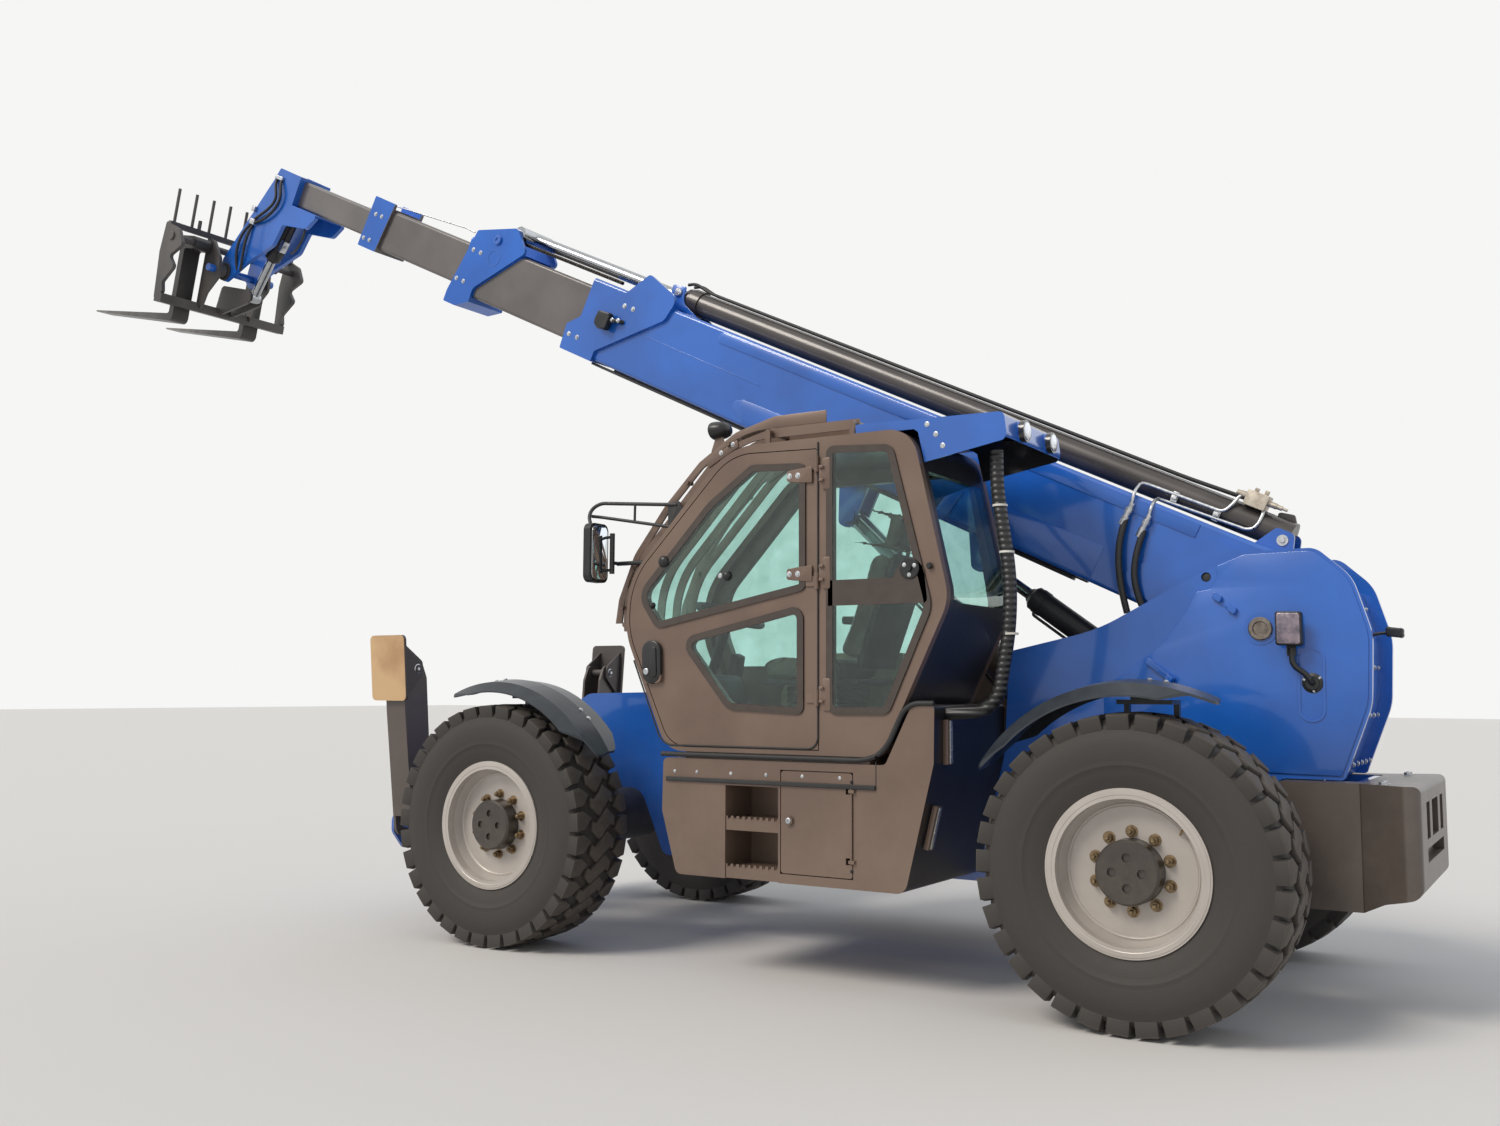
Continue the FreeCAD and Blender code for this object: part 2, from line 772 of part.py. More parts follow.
def tower():
    """The two boom tower plates with the pins of the boom and of the slave cylinder."""
    inner = d.frame_half + d.frame_wall
    outer = inner + d.tower_wall

    def side_plate(side):
        return plate(
            (
                (-900, 880),
                (-950, 1640, 30),
                (-1410, 1741, 900),
                (-1860, 1975, 900),
                (-2120, 2096, 120),
                (-2440, 2100, 90),
                (-2590, 1960, 200),
                (-2668, 1700, 300),
                (-2655, 1380, 300),
                (-2530, d.weight_top + 5, 20),
                (-2250, d.weight_top + 5, 60),
                (-2160, 880, 60),
            ),
            *span(side, inner, outer),
            holes=((d.tie_x, d.tie_z, d.tie_radius),),
        )
    pins = [
        rod("y", (d.pivot_x, d.pivot_z), -outer - 12, outer + 12, d.pivot_pin),
        rod("y", (d.slave_x, d.slave_z), -inner, inner, d.slave_pin),
    ]
    bosses = both_sides(lambda side: rod(
        "y", (d.pivot_x, d.pivot_z), *span(side, outer, outer + 12), d.pivot_pin + 30))
    eyes = both_sides(lambda side: rod(
        "y", (d.slave_x, d.slave_z), *span(side, d.slave_eye_half + d.side_gap, inner), 38))
    node("boom_tower", joined(both_sides(side_plate) + [tower_cover()] + pins + bosses + eyes))


def tower_cover():
    """Curved sheet that closes the tower behind the boom."""
    inner = d.frame_half + d.frame_wall
    return plate(
        (
            (-2539, 1925),
            (-2605, 1700, 300),
            (-2590, 1380, 300),
            (-2480, d.weight_top + 8),
            (-2474, d.weight_top + 8),
            (-2584, 1380, 294),
            (-2599, 1700, 294),
            (-2533, 1923),
        ),
        -inner, inner,
    )


def counterweight():
    """Cast counterweight: its plan and its side profile have this in common."""
    rear = d.weight_rear
    top = d.weight_top
    plan = plate(
        (
            (-2605, -455, 20),
            (rear + 60, -560, 30),
            (rear, -540, 50),
            (rear, 540, 50),
            (rear + 60, 560, 30),
            (-2605, 455, 20),
        ),
        400, top, "z",
    )
    side = plate(
        ((-2605, 480), (-2605, top), (rear, top, 30), (rear, 570, 60), (-2700, 530, 60)),
        -600, 600,
    )
    pockets = [
        block((rear - 5, rear + 45), (-330, 330), (700, 760)),
        block((rear - 5, rear + 60), (-120, 120), (800, 960)),
        block((rear - 5, rear + 60), (-330, -210), (800, 960)),
        block((rear - 5, rear + 60), (210, 330), (800, 960)),
    ]
    wings = both_sides(lambda s: plate(
        (
            (-2270, 480, 40),
            (-2270, top, 10),
            (-2605, top),
            (-2605, 480),
        ),
        *span(s, d.frame_half + d.frame_wall, 450),
    ))
    node("counterweight", joined([minus(shared(plan, side), pockets)] + wings))


# Boom sections, in the boom's frame: origin at the boom pivot, X along the boom

def hollow(deep, wide, rear, front, wall):
    """A rectangular section of the boom."""
    low, high = d.boom_axis - deep / 2, d.boom_axis + deep / 2
    half = wide / 2
    outside = ((-half, low, 22), (half, low, 22), (half, high, 22), (-half, high, 22))
    return plate(outside, rear, front, "x", windows=(inset(outside, wall),))


def collar(corners, deep, wide):
    """A collar of this side outline round the end of a section."""
    half = wide / 2
    sleeve = plate(corners, -half - d.collar_wall, half + d.collar_wall)
    low, high = d.boom_axis - deep / 2, d.boom_axis + deep / 2
    return minus(sleeve, [
        block((0, 9000), (-half + 2, half - 2), (low + 2, high - 2)),
        block((0, 9000), (-half, half), (high + 12, high + 300)),
    ])


def wear_pads(deep, wide, inner_deep, inner_wide, front):
    """Four pads inside the front end that guide the next section."""
    wall = d.boom_wall
    axis = d.boom_axis
    along = (front - 260, front - 20)
    pads = []
    for side in (1, -1):
        across = span(side, inner_wide / 2 + d.seat_gap, wide / 2 - wall)
        pads.append(block(along, across, (axis - 60, axis + 60)))
        low, high = span(side, inner_deep / 2 + d.seat_gap, deep / 2 - wall)
        pads.append(block(along, (-70, 70), (axis + low, axis + high)))
    return pads


def boom_node(label, piece):
    node(label, piece, d.pivot_x, 0, d.pivot_z, (NOSE_UP, d.boom_angle))


def boom_outer():
    """Outer boom section with its pivot tube, collar and cylinder brackets."""
    tube = hollow(d.outer_deep, d.outer_wide, d.outer_rear, d.outer_front - 60, d.boom_wall)
    half = d.outer_wide / 2
    axis = d.boom_axis
    low = axis - d.outer_deep / 2
    high = axis + d.outer_deep / 2
    front = d.outer_front
    lip = collar(
        (
            (front - 290, low - 12),
            (front, low - 12, 10),
            (front + 13, 14),
            (front - 380, high - 10),
            (front - 505, d.ext_n + 60, 30),
            (front - 780, d.ext_n - 20, 60),
            (front - 740, high - 90, 60),
            (front - 290, low + 60, 30),
        ),
        d.outer_deep, d.outer_wide,
    )
    reach = d.frame_half + d.frame_wall - d.side_gap
    boss = rod("y", (0, 0), -reach, reach, 85)
    doublers = both_sides(lambda side: plate(
        (
            (-210, low + 20, 40), (520, low + 20, 60), (800, low + 90, 60),
            (420, high - 60, 60), (-210, high - 60, 40),
        ),
        *span(side, half, half + 12),
    ))
    lugs = []
    for u, n, gap, width, below in ((d.lift_u, d.lift_n, d.lift_eye_half, 170, 70),
                                    (d.slave_u, d.slave_n, d.slave_eye_half, 150, 60)):
        for side in (1, -1):
            lugs.append(plate(
                (
                    (u - 45, low),
                    (u - 45, n - below, 40),
                    (u + width / 4, n - below, 40),
                    (u + width, low),
                ),
                *span(side, gap + d.side_gap, gap + d.side_gap + 22),
            ))
            lugs.append(rod(
                "y", (u, n),
                *span(side, gap + d.side_gap + 22, gap + d.side_gap + 34), 42))
    rear_lugs = both_sides(lambda side: plate(
        (
            (60, high), (95, d.ext_n + 20, 30), (185, d.ext_n + 20, 30), (250, high),
        ),
        *span(side, d.ext_radius, d.ext_radius + 16),
    ))
    bore = rod("y", (0, 0), -reach - 5, reach + 5, d.pivot_pin + d.seat_gap)
    pads = wear_pads(d.outer_deep, d.outer_wide, d.second_deep, d.second_wide, front - 60)
    body = [tube, lip, boss] + doublers + lugs + rear_lugs + pads
    corner = plate(((-300, 222), (-80, 372), (-80, 500), (-300, 500)), -half - 20, half + 20)
    boom_node("boom_outer", minus(joined(body), [bore, corner]))


def boom_second():
    """Second section with its collar and the ears of the extension rod."""
    front = d.second_front
    tube = hollow(d.second_deep, d.second_wide, front - d.inner_length, front - 40, d.boom_wall)
    axis = d.boom_axis
    low = axis - d.second_deep / 2
    high = axis + d.second_deep / 2
    lip = collar(
        (
            (front - 240, low - 35),
            (front - 120, low - 98, 10),
            (front, low - 98, 10),
            (front, low - 16),
            (front - 95, high + 55, 20),
            (front - 450, d.ext_n + 25, 40),
            (front - 600, high + 30, 30),
            (front - 235, low + 64, 60),
        ),
        d.second_deep, d.second_wide,
    )
    pads = wear_pads(d.second_deep, d.second_wide, d.third_deep, d.third_wide, front - 40)
    boom_node("boom_second", joined([tube, lip] + pads))


def boom_third():
    """Third section with its collar."""
    front = d.third_front
    tube = hollow(d.third_deep, d.third_wide, front - d.inner_length, front - 20, d.boom_wall)
    axis = d.boom_axis
    low = axis - d.third_deep / 2
    high = axis + d.third_deep / 2
    lip = collar(
        (
            (front - 205, low - 28, 10),
            (front, low - 28, 10),
            (front - 20, high + 55, 10),
            (front - 255, high + 50, 10),
        ),
        d.third_deep, d.third_wide,
    )
    pads = wear_pads(d.third_deep, d.third_wide, d.fourth_deep, d.fourth_wide, front - 20)
    boom_node("boom_third", joined([tube, lip] + pads))


def boom_fourth():
    """Fourth section with the gooseneck head and the fork pivot pin."""
    front = d.fourth_front
    tube = hollow(d.fourth_deep, d.fourth_wide, front - d.inner_length, front, d.boom_wall)
    near, far = d.leg_half, d.leg_half + d.leg_wall
    top = d.boom_axis + d.fourth_deep / 2

    def leg(side):
        return plate(
            (
                (front, top + 20),
                (front + 275, top + 25, 20),
                (front + 305, top - 75, 60),
                (d.nose_u + 80, d.nose_n + 90, 40),
                (d.nose_u + 70, d.nose_n - 40, 50),
                (d.nose_u - 25, d.nose_n - 85, 50),
                (d.nose_u - 210, d.nose_n + 130, 150),
                (front + 70, d.nose_n + 360, 80),
                (front + 35, -168, 20),
                (front - 245, -125, 60),
                (front - 330, 4, 20),
                (front, 4),
            ),
            *span(side, near, far),
        )
    pieces = [tube] + both_sides(leg) + [
        block((front, front + 25), (-far, far), (4, top + 20)),
        block((front + 100, front + 270), (-near, near), (top, top + 20)),
        block((front - 300, front + 20), (-near, near), (-10, 5.7)),
        rod("y", (front + 240, 60), -near, near, 50),
        rod("y", (d.nose_u, d.nose_n), -far - 160, far + 160, d.nose_pin),
        rod("y", (d.tilt_u, d.tilt_n), -near, near, d.tilt_pin),
    ]
    pieces += both_sides(lambda side: rod(
        "y", (d.tilt_u, d.tilt_n), *span(side, d.tilt_eye_half + d.side_gap, near), 45))
    boom_node("boom_fourth", joined(pieces))


def extension_cylinder():
    """Boom extension cylinder: barrel on the outer section, rod on the second."""
    bore = d.ext_rod + d.seat_gap
    barrel = turned(
        (
            (115, 0),
            (115, d.ext_radius),
            (d.ext_front, d.ext_radius),
            (d.ext_front, bore),
            (900, bore),
            (900, 0),
        ),
        "x",
    )
    bar = turned(((1500, 0), (1500, d.ext_rod), (d.ext_eye_u, d.ext_rod), (d.ext_eye_u, 0)), "x")
    eye = rod("y", (d.ext_eye_u, 0), -d.second_wide / 2, d.second_wide / 2, 48)
    x = d.pivot_x - sine(d.boom_angle) * d.ext_n
    z = d.pivot_z + cosine(d.boom_angle) * d.ext_n
    node("extension_barrel", barrel, x, 0, z, (NOSE_UP, d.boom_angle))
    node("extension_rod", joined([bar, eye]), x, 0, z, (NOSE_UP, d.boom_angle))


def on_boom(u, n):
    """A point of the boom's own frame in the vehicle's frame."""
    c, s = cosine(d.boom_angle), sine(d.boom_angle)
    return d.pivot_x + c * u - s * n, d.pivot_z + s * u + c * n


# Hydraulic cylinders, each along one axis from its foot pivot

def cylinder(axis, length, barrel_end, rod_length, radii, eye, pin, half):
    """Barrel and rod of a cylinder: eye and pin are radii, half is half an eye's width."""
    barrel_radius, rod_radius, bevel = radii
    across = "y" if axis == "x" else "x"
    foot = eye * 0.7
    neck = eye * 1.45
    bore = rod_radius + d.seat_gap
    tube = turned(
        (
            (foot, 0),
            (foot, half - 3),
            (neck, half - 3),
            (neck + 10, barrel_radius),
            (barrel_end - bevel, barrel_radius),
            (barrel_end, barrel_radius - bevel),
            (barrel_end, bore),
            (eye + 30, bore),
            (eye + 30, 0),
        ),
        axis,
    )
    foot_eye = rod(across, (0, 0), -half, half, eye)
    hole = rod(across, (0, 0), -half - 5, half + 5, pin + d.seat_gap)
    inner = length - rod_length
    bar = turned(
        ((inner, 0), (inner, rod_radius), (length - foot, rod_radius), (length - foot, 0)), axis)
    rod_eye = rod(across, (length, 0), -half, half, eye)
    rod_hole = rod(across, (length, 0), -half - 5, half + 5, pin)
    return minus(joined([tube, foot_eye]), [hole]), minus(joined([bar, rod_eye]), [rod_hole])


def cylinder_pair(name, start, end, barrel_end, rod_length, radii, eye, pin, half):
    """A cylinder in the middle plane, between two points (x, z).

    Its radii are the barrel's, the rod's, and how far the barrel's front edge is bevelled.
    """
    run, rise = end[0] - start[0], end[1] - start[1]
    length = root(run * run + rise * rise)
    pieces = cylinder("x", length, barrel_end, rod_length, radii, eye, pin, half)
    for part, piece in zip(("_barrel", "_rod"), pieces):
        node(name + part, piece, start[0], 0, start[1], (NOSE_UP, bearing(rise, run)))


def on_carriage(a, b):
    """A point of the carriage's own frame in the vehicle's frame."""
    x, z = on_boom(d.nose_u, d.nose_n)
    c, s = cosine(d.carriage_pitch), sine(d.carriage_pitch)
    return x + c * a - s * b, z + s * a + c * b


def cylinders():
    """Lift, slave and tilt cylinders."""
    cylinder_pair("lift", (d.lift_x, d.lift_z), on_boom(d.lift_u, d.lift_n),
                  1670, 1690, (83, 50, 30), 43, d.lift_pin, d.lift_eye_half)
    cylinder_pair("slave", (d.slave_x, d.slave_z), on_boom(d.slave_u, d.slave_n),
                  1115, 1100, (66, 31, 20), 36, d.slave_pin, d.slave_eye_half)
    cylinder_pair("tilt", on_boom(d.tilt_u, d.tilt_n), on_carriage(d.tilt_a, d.tilt_b),
                  500, 480, (62, 35, 8), 42, d.tilt_pin, d.tilt_eye_half)


# Carriage and forks, in the carriage's frame: origin at the fork pivot, X along the blades

# places across of the backrest bars
BACKREST = (-550, -393, -236, -79, 79, 236, 393, 550)


def carriage():
    """Fork carriage: side arms, pivot plates, cross bars, cylinder lugs and backrest bars."""
    wide = d.carriage_half
    pin = ((0, 0, d.nose_pin + d.seat_gap),)
    near = d.leg_half + d.leg_wall + d.side_gap

    def arm(side):
        return plate(
            (
                (209, 284, 20), (33, 221, 40), (-44, 104, 30), (99, 11, 20), (17, -71, 30),
                (137, -200, 20), (114, -276, 20), (205, -361, 20), (237, 39), (221, 179),
            ),
            *span(side, wide - 30, wide),
        )

    def pivot_plate(side):
        return plate(
            (
                (150, 250, 20), (60, 225, 40), (-50, 90, 60), (-70, -60, 60), (50, -200, 60),
                (90, -330, 20), (150, -330),
            ),
            *span(side, 225, 250), holes=pin,
        )

    def collar_tube(side):
        tube = rod("y", (0, 0), *span(side, near, 225), 52)
        return minus(tube, [rod("y", (0, 0), *span(side, near - 5, 230), pin[0][2])])

    def lug(side):
        return plate(
            (
                (-262, -215, 45), (-245, -115, 40), (120, -100, 40), (160, -330), (60, -330, 40),
            ),
            *span(side, d.tilt_eye_half + d.side_gap, d.tilt_eye_half + d.side_gap + 20),
        )
    pieces = both_sides(arm) + both_sides(pivot_plate) + both_sides(collar_tube)
    pieces += both_sides(lug)
    pieces += [
        block((110, 200), (-wide, wide), (-361, -290)),
        block((150, 185), (-wide, wide), (240, 285)),
        rod("y", (107, 166), -wide, wide, 27),
    ]
    for y in BACKREST:
        pieces.append(rod("z", (172, y), 280, 550, 12))
    x, z = on_boom(d.nose_u, d.nose_n)
    node("carriage", joined(pieces), x, 0, z, (NOSE_UP, d.carriage_pitch))


def forks():
    """The two forks, each hung by an eye on the carriage's upper bar."""
    def fork(side):
        return plate(
            (
                (206, d.fork_drop, 50), (d.fork_tip, d.fork_drop),
                (d.fork_tip, d.fork_drop + 12), (262, d.fork_drop + 60, 25), (262, 218, 30),
                (64, 218, 45), (64, 116, 45), (206, 116, 20),
            ),
            *span(side, d.fork_spread / 2 - d.fork_width / 2, d.fork_spread / 2 + d.fork_width / 2),
            holes=((107, 166, 27 + d.seat_gap),),
        )
    x, z = on_boom(d.nose_u, d.nose_n)
    node("forks", group(both_sides(fork)), x, 0, z, (NOSE_UP, d.carriage_pitch))


# Stabilisers

def leg_carrier():
    """Cross beam for the stabiliser legs, with their pins and the cylinder brackets."""
    low, high = d.leg_x - d.leg_deep / 2, d.leg_x + d.leg_deep / 2
    gap, wall = d.side_gap, 20
    pieces = [block((low - gap - wall, high + gap + wall), (-720, 720), (450, 700))]
    for side in (1, -1):
        for near in (low - gap - wall, high + gap):
            pieces.append(plate(
                (
                    (side * 560, 450),
                    (side * (d.leg_pivot_y - 15), 450, 30),
                    (side * (d.leg_pivot_y + 72), 555, 60),
                    (side * (d.leg_pivot_y + 72), 645, 50),
                    (side * (d.leg_pivot_y - 5), 700, 40),
                    (side * 560, 700),
                ),
                near, near + wall, "x",
            ))
        pieces.append(rod("x", (side * d.leg_pivot_y, d.leg_pivot_z),
                          low - gap - wall - 8, high + gap + wall + 8, d.leg_pin))
        pieces.append(rod("x", (side * d.leg_foot_y, d.leg_foot_z),
                          d.leg_x - 75, d.leg_x + 75, d.leg_pin))
    for near in (-70, 50):
        pieces.append(plate(
            (
                (-340, 690), (340, 690), (d.leg_foot_y + 62, d.leg_foot_z - 20, 40),
                (d.leg_foot_y + 30, d.leg_foot_z + 58, 50),
                (-30 - d.leg_foot_y, d.leg_foot_z + 58, 50),
                (-62 - d.leg_foot_y, d.leg_foot_z - 20, 40),
            ),
            d.leg_x + near, d.leg_x + near + 20, "x",
        ))
    return pieces


def leg():
    """Left leg from its pivot: two side plates with a web on the outer side."""
    half = d.leg_deep / 2
    top = d.leg_length
    pieces = []
    for near in (-half, half - 18):
        pieces.append(plate(
            (
                (-66, -72, 65), (74, -72, 65), (101, 700, 300), (101, top - 20, 60),
                (50, top + 50, 50), (-50, top + 50, 50), (-89, top - 60, 60), (-89, 300, 200),
            ),
            near, near + 18, "x",
            holes=((0, 0, d.leg_pin + d.seat_gap), (0, top, d.leg_pin + d.seat_gap)),
        ))
    pieces.append(plate(
        ((66, 60), (79, 60), (101, 700, 300), (101, 880), (87, 880), (87, 700, 280)),
        -half, half, "x",
    ))
    for side in (1, -1):
        pieces.append(rod("x", (-d.leg_eye_in, d.leg_eye_up), *span(side, half, half + 10), 34))
    return joined(pieces)


def pad():
    """Left foot pad from its pin: plate, gussets and pin."""
    gap = d.leg_deep / 2 + d.side_gap
    pieces = [
        plate(
            ((-120, -185, 30), (170, -185, 30), (170, 215, 30), (-120, 215, 30)),
            108, 130, "y",
        ),
        rod("x", (0, 0), -gap - 20, gap + 20, d.leg_pin),
    ]
    for side in (1, -1):
        pieces.append(plate(
            ((-42, -42, 40), (110, -165), (110, 165), (-42, 42, 40)),
            *span(side, gap, gap + 14), "x",
        ))
    return joined(pieces)


def stabilisers():
    """Both legs with their pads and cylinders."""
    eye_y = d.leg_pivot_y + sine(d.leg_lean) * d.leg_eye_up - cosine(d.leg_lean) * d.leg_eye_in
    eye_z = d.leg_pivot_z + cosine(d.leg_lean) * d.leg_eye_up + sine(d.leg_lean) * d.leg_eye_in
    run, rise = eye_y - d.leg_foot_y, eye_z - d.leg_foot_z
    length = root(run * run + rise * rise)
    slope = bearing(rise, run)
    top_y = d.leg_pivot_y + sine(d.leg_lean) * d.leg_length
    top_z = d.leg_pivot_z + cosine(d.leg_lean) * d.leg_length
    for name, side in (("left", 1), ("right", -1)):
        barrel, bar = cylinder("y", length, 628, 620, (46, 28, 6), 40, d.leg_pin, d.leg_eye_half)
        for label, piece, y, z, roll in (
            ("leg_", leg(), d.leg_pivot_y, d.leg_pivot_z, -d.leg_lean),
            ("leg_pad_", pad(), top_y, top_z, -d.leg_lean),
            ("leg_barrel_", barrel, d.leg_foot_y, d.leg_foot_z, slope),
            ("leg_rod_", bar, d.leg_foot_y, d.leg_foot_z, slope),
        ):
            shape = piece if side > 0 else image(piece)
            node(label + name, shape, d.leg_x, side * y, z, (ROLL, side * roll))


# Cab

CAB = (
    (-630, d.cab_floor, 100),
    (615, d.cab_floor, 160),
    (893, 1740, 400),
    (872, 2025, 400),
    (240, d.cab_top, 400),
    (-800, d.cab_top, 160),
    (-985, 1860, 220),
)
DOOR = (
    (-290, 1148),
    (592, 1148, 150),
    (868, 1745, 390),
    (848, 2018, 390),
    (225, 2640, 300),
    (-290, 2625, 20),
)
DOOR_PANES = (
    ((683, 1753, 60), (811, 1937, 100), (359, 2401, 300), (96, 2578, 60), (-221, 2561, 40),
     (-222, 1928, 40)),
    ((-211, 1314, 40), (233, 1334, 100), (541, 1698, 60), (-210, 1859, 60)),
)
LEFT_PANE = (
    (-339, 1316, 60), (-340, 2636, 40), (-701, 2612, 60), (-904, 1829, 150), (-673, 1321, 60))
RIGHT_PANE = (
    (-690, 1540, 60), (700, 1540, 60), (790, 1755, 250), (770, 2000, 250), (215, 2590, 250),
    (-770, 2590, 80), (-890, 1860, 120))
# the part of the band that the windscreen fills, roof and front
SCREEN = ((50, 2600), (50, 2760), (1000, 2760), (1000, 1480), (690, 1480), (690, 1950))
REAR_LIGHT = ((-1100, 1850), (-600, 1850), (-600, 2480), (-1100, 2480))
LIP = 30


def cab_walls():
    """Cab sides, floor, rear wall and front with roof, each as thick as the wall."""
    wall = d.cab_wall
    opening = inset(DOOR, -d.side_gap)
    left = plate(CAB, d.cab_left - wall, d.cab_left, windows=(opening, inset(LEFT_PANE, LIP)))
    right = plate(CAB, d.cab_right, d.cab_right + wall, windows=(inset(RIGHT_PANE, LIP),))
    node("cab_left", left)
    node("cab_right", right)
    low, high = d.cab_right + wall, d.cab_left - wall
    split = d.cab_floor + 65
    for label, x, z, light in (
        ("cab_floor", (-1100, 1100), (1000, split), None),
        ("cab_rear", (-1100, -560), (split, 2800), REAR_LIGHT),
        ("cab_front", (-560, 1100), (split, 2800), SCREEN),
    ):
        band = plate(CAB, low, high, windows=(inset(CAB, wall),))
        part = shared(band, block(x, (0, 1500), z))
        if light:
            part = minus(part, [plate(light, low + 40, high - 40)])
        node(label, part)


def glass():
    """Fixed panes, and the two panes of the door."""
    low, high = d.cab_right + d.cab_wall + 40, d.cab_left - d.cab_wall - 40
    panes = []
    for light in (SCREEN, REAR_LIGHT):
        skin = plate(CAB, low, high, windows=(inset(CAB, d.glass_wall),))
        panes.append(shared(skin, plate(light, low, high)))
    panes.append(plate(LEFT_PANE, d.cab_left, d.cab_left + d.glass_wall))
    panes.append(plate(RIGHT_PANE, d.cab_right - d.glass_wall, d.cab_right))
    node("cab_glass", group(panes))
    node("door_glass", group([
        plate(pane, d.cab_left, d.cab_left + d.glass_wall) for pane in DOOR_PANES]))


def cab_door():
    """Door frame with its hinge knuckles and handle."""
    frame_plate = plate(
        DOOR, d.cab_left - d.cab_wall, d.cab_left,
        windows=[inset(pane, LIP) for pane in DOOR_PANES])
    hinges = []
    for z in (1400, 1970, 2550):
        hinges.append(rod("z", (d.door_hinge, d.cab_left + 10), z - 40, z + 40, 12))
        hinges.append(block((d.door_hinge, -225), (d.cab_left, d.cab_left + 9), (z - 25, z + 25)))
    handle = plate(
        ((640, 1470, 28), (760, 1470, 28), (760, 1530, 28), (640, 1530, 28)),
        d.cab_left, d.cab_left + 22,
    )
    node("cab_door", joined([frame_plate, handle] + hinges))


# Roof guard bars: the stretch from the roof's rear down to the windscreen's foot
GUARD_REACH = (
    (-465, 2600), (-465, 2850), (1100, 2850), (1100, 1750), (700, 1750), (700, 2000), (200, 2600))


def roof_guard():
    """Flat bars outside the roof and windscreen, on cross tubes with feet on the cab."""
    stretch = plate(GUARD_REACH, 0, 1500)
    bars = []
    for i in range(5):
        y = 466 + 150 * i
        loop = plate(inset(CAB, -95), y, y + 12, windows=(inset(CAB, -45),))
        bars.append(shared(loop, stretch))
    low, high = d.cab_right + 60, d.cab_left - 60
    feet = []
    for x, z, foot_x, foot_z in (
        (-448, 2754, (-462, -434), (2600, 2754)),
        (40, 2754, (26, 54), (2600, 2754)),
        (946, 1785, (700, 946), (1771, 1799)),
    ):
        bars.append(rod("y", (x, z), low, high, 14))
        for y in (low, high - 14):
            feet.append(block(foot_x, (y, y + 14), foot_z))
    cab = plate(CAB, 0, 1500)
    node("roof_guard", joined(bars + [minus(joined(feet), [cab])]))


def visor():
    """Sheet hood over the rear window with its two work lamps."""
    low, high = d.cab_right + d.cab_wall, d.cab_left - d.cab_wall
    wall = 8
    shell = plate(
        (
            (-476, d.cab_top), (-476, 2736, 10), (-1246, 2724, 30), (-1262, 2600, 40),
            (-1235, 2590), (-845, 2519), (-812, 2668), (-790, d.cab_top),
        ),
        low, high,
    )
    hollow_space = plate(
        ((-830, 2500), (-800, 2670), (-760, 2726), (-1238, 2716, 22), (-1252, 2606, 30),
         (-1245, 2500)),
        low + wall, high - wall,
    )
    lamps = [rod("x", (y, 2655), -1290, -1249, 52) for y in (590, 950)]
    cab = plate(CAB, 0, 1500)
    node("visor", minus(joined([minus(shell, [hollow_space])] + lamps), [cab]))


def cab_inside():
    """Seat on its base, console, steering column and wheel."""
    floor = d.cab_floor + d.cab_wall
    seat = [
        block((-330, 90), (600, 940), (floor, 1480)),
        plate(
            ((-400, 1480, 30), (170, 1480, 50), (190, 1590, 40), (-280, 1600, 30),
             (-500, 2140, 50), (-600, 2110, 50)),
            540, 1000,
        ),
        plate(
            ((-540, 2120, 20), (-480, 2140, 40), (-530, 2330, 50), (-620, 2310, 50)),
            650, 890,
        ),
    ]
    console = [
        plate(((350, floor), (510, floor), (640, 1480, 60), (500, 1540, 60)), 640, 900),
    ]
    rim_ring = doc.addObject("Part::Torus", "Wheel")
    rim_ring.Radius1 = 185
    rim_ring.Radius2 = 15
    wheel = joined([
        rim_ring,
        block((-185, 185), (-16, 16), (-6, 6)),
        rod("z", (0, 0), -480, 12, 28),
    ])
    wheel.Placement = Placement(Vector(490, 770, 1840), Rotation(Vector(0, -1, 0), 20))
    side = plate(
        ((-420, floor), (330, floor), (330, 1420, 60), (180, 1640, 60), (-420, 1640, 40)),
        d.cab_right + d.cab_wall, 500,
    )
    node("cab_inside", group([joined(seat), joined(console + [wheel]), side]))


# Boxes beside the frame

def step_box():
    """Box under the cab with the steps and the tool locker."""
    inner = d.frame_half + d.frame_wall
    face = d.box_face
    body = plate(
        (
            (-750, d.box_floor, 60), (546, d.box_floor, 40), (639, 813, 40), (634, d.box_top, 30),
            (-650, d.box_top, 30), (-790, 1370, 10), (-905, 1370, 20), (-900, 1100, 60),
        ),
        inner, face,
    )
    tools = [
        block((-64, 247), (face - 250, face + 5), (d.box_floor - 5, 957)),
        block((-480, -75), (face - 25, face + 5), (540, 1045)),
        block((-455, -100), (face - 270, face), (565, 1020)),
    ]
    seal = block((-560, 505), (380, face - 18), (d.box_top - 5, d.cab_floor))
    treads = [block((-64, 247), (face - 250, face - 8), (top - 55, top)) for top in (556, 793)]
    ears = [minus(
        block((-492, -462), (face, face + 16), (z, z + 16)),
        [rod("z", (-473, face + 6), z - 5, z + 21, 6 + d.seat_gap)],
    ) for z in (616, 948)]
    node("step_box", joined([minus(body, tools), seal] + treads + ears))
    door = plate(
        ((-475, 545, 15), (-80, 545, 15), (-80, 1040, 15), (-475, 1040, 15)), face - 20, face)
    knob = rod("y", (-130, 800), face, face + 14, 22)
    hinge_x, hinge_y, pin = -473, face + 6, 6
    hinge = rod("z", (hinge_x, hinge_y), 612, 968, pin)
    notches = [block((-480, -440), (face - 25, face + 5), (z - 8, z + 24)) for z in (616, 948)]
    node("locker_door", joined([minus(door, notches), knob, hinge]))


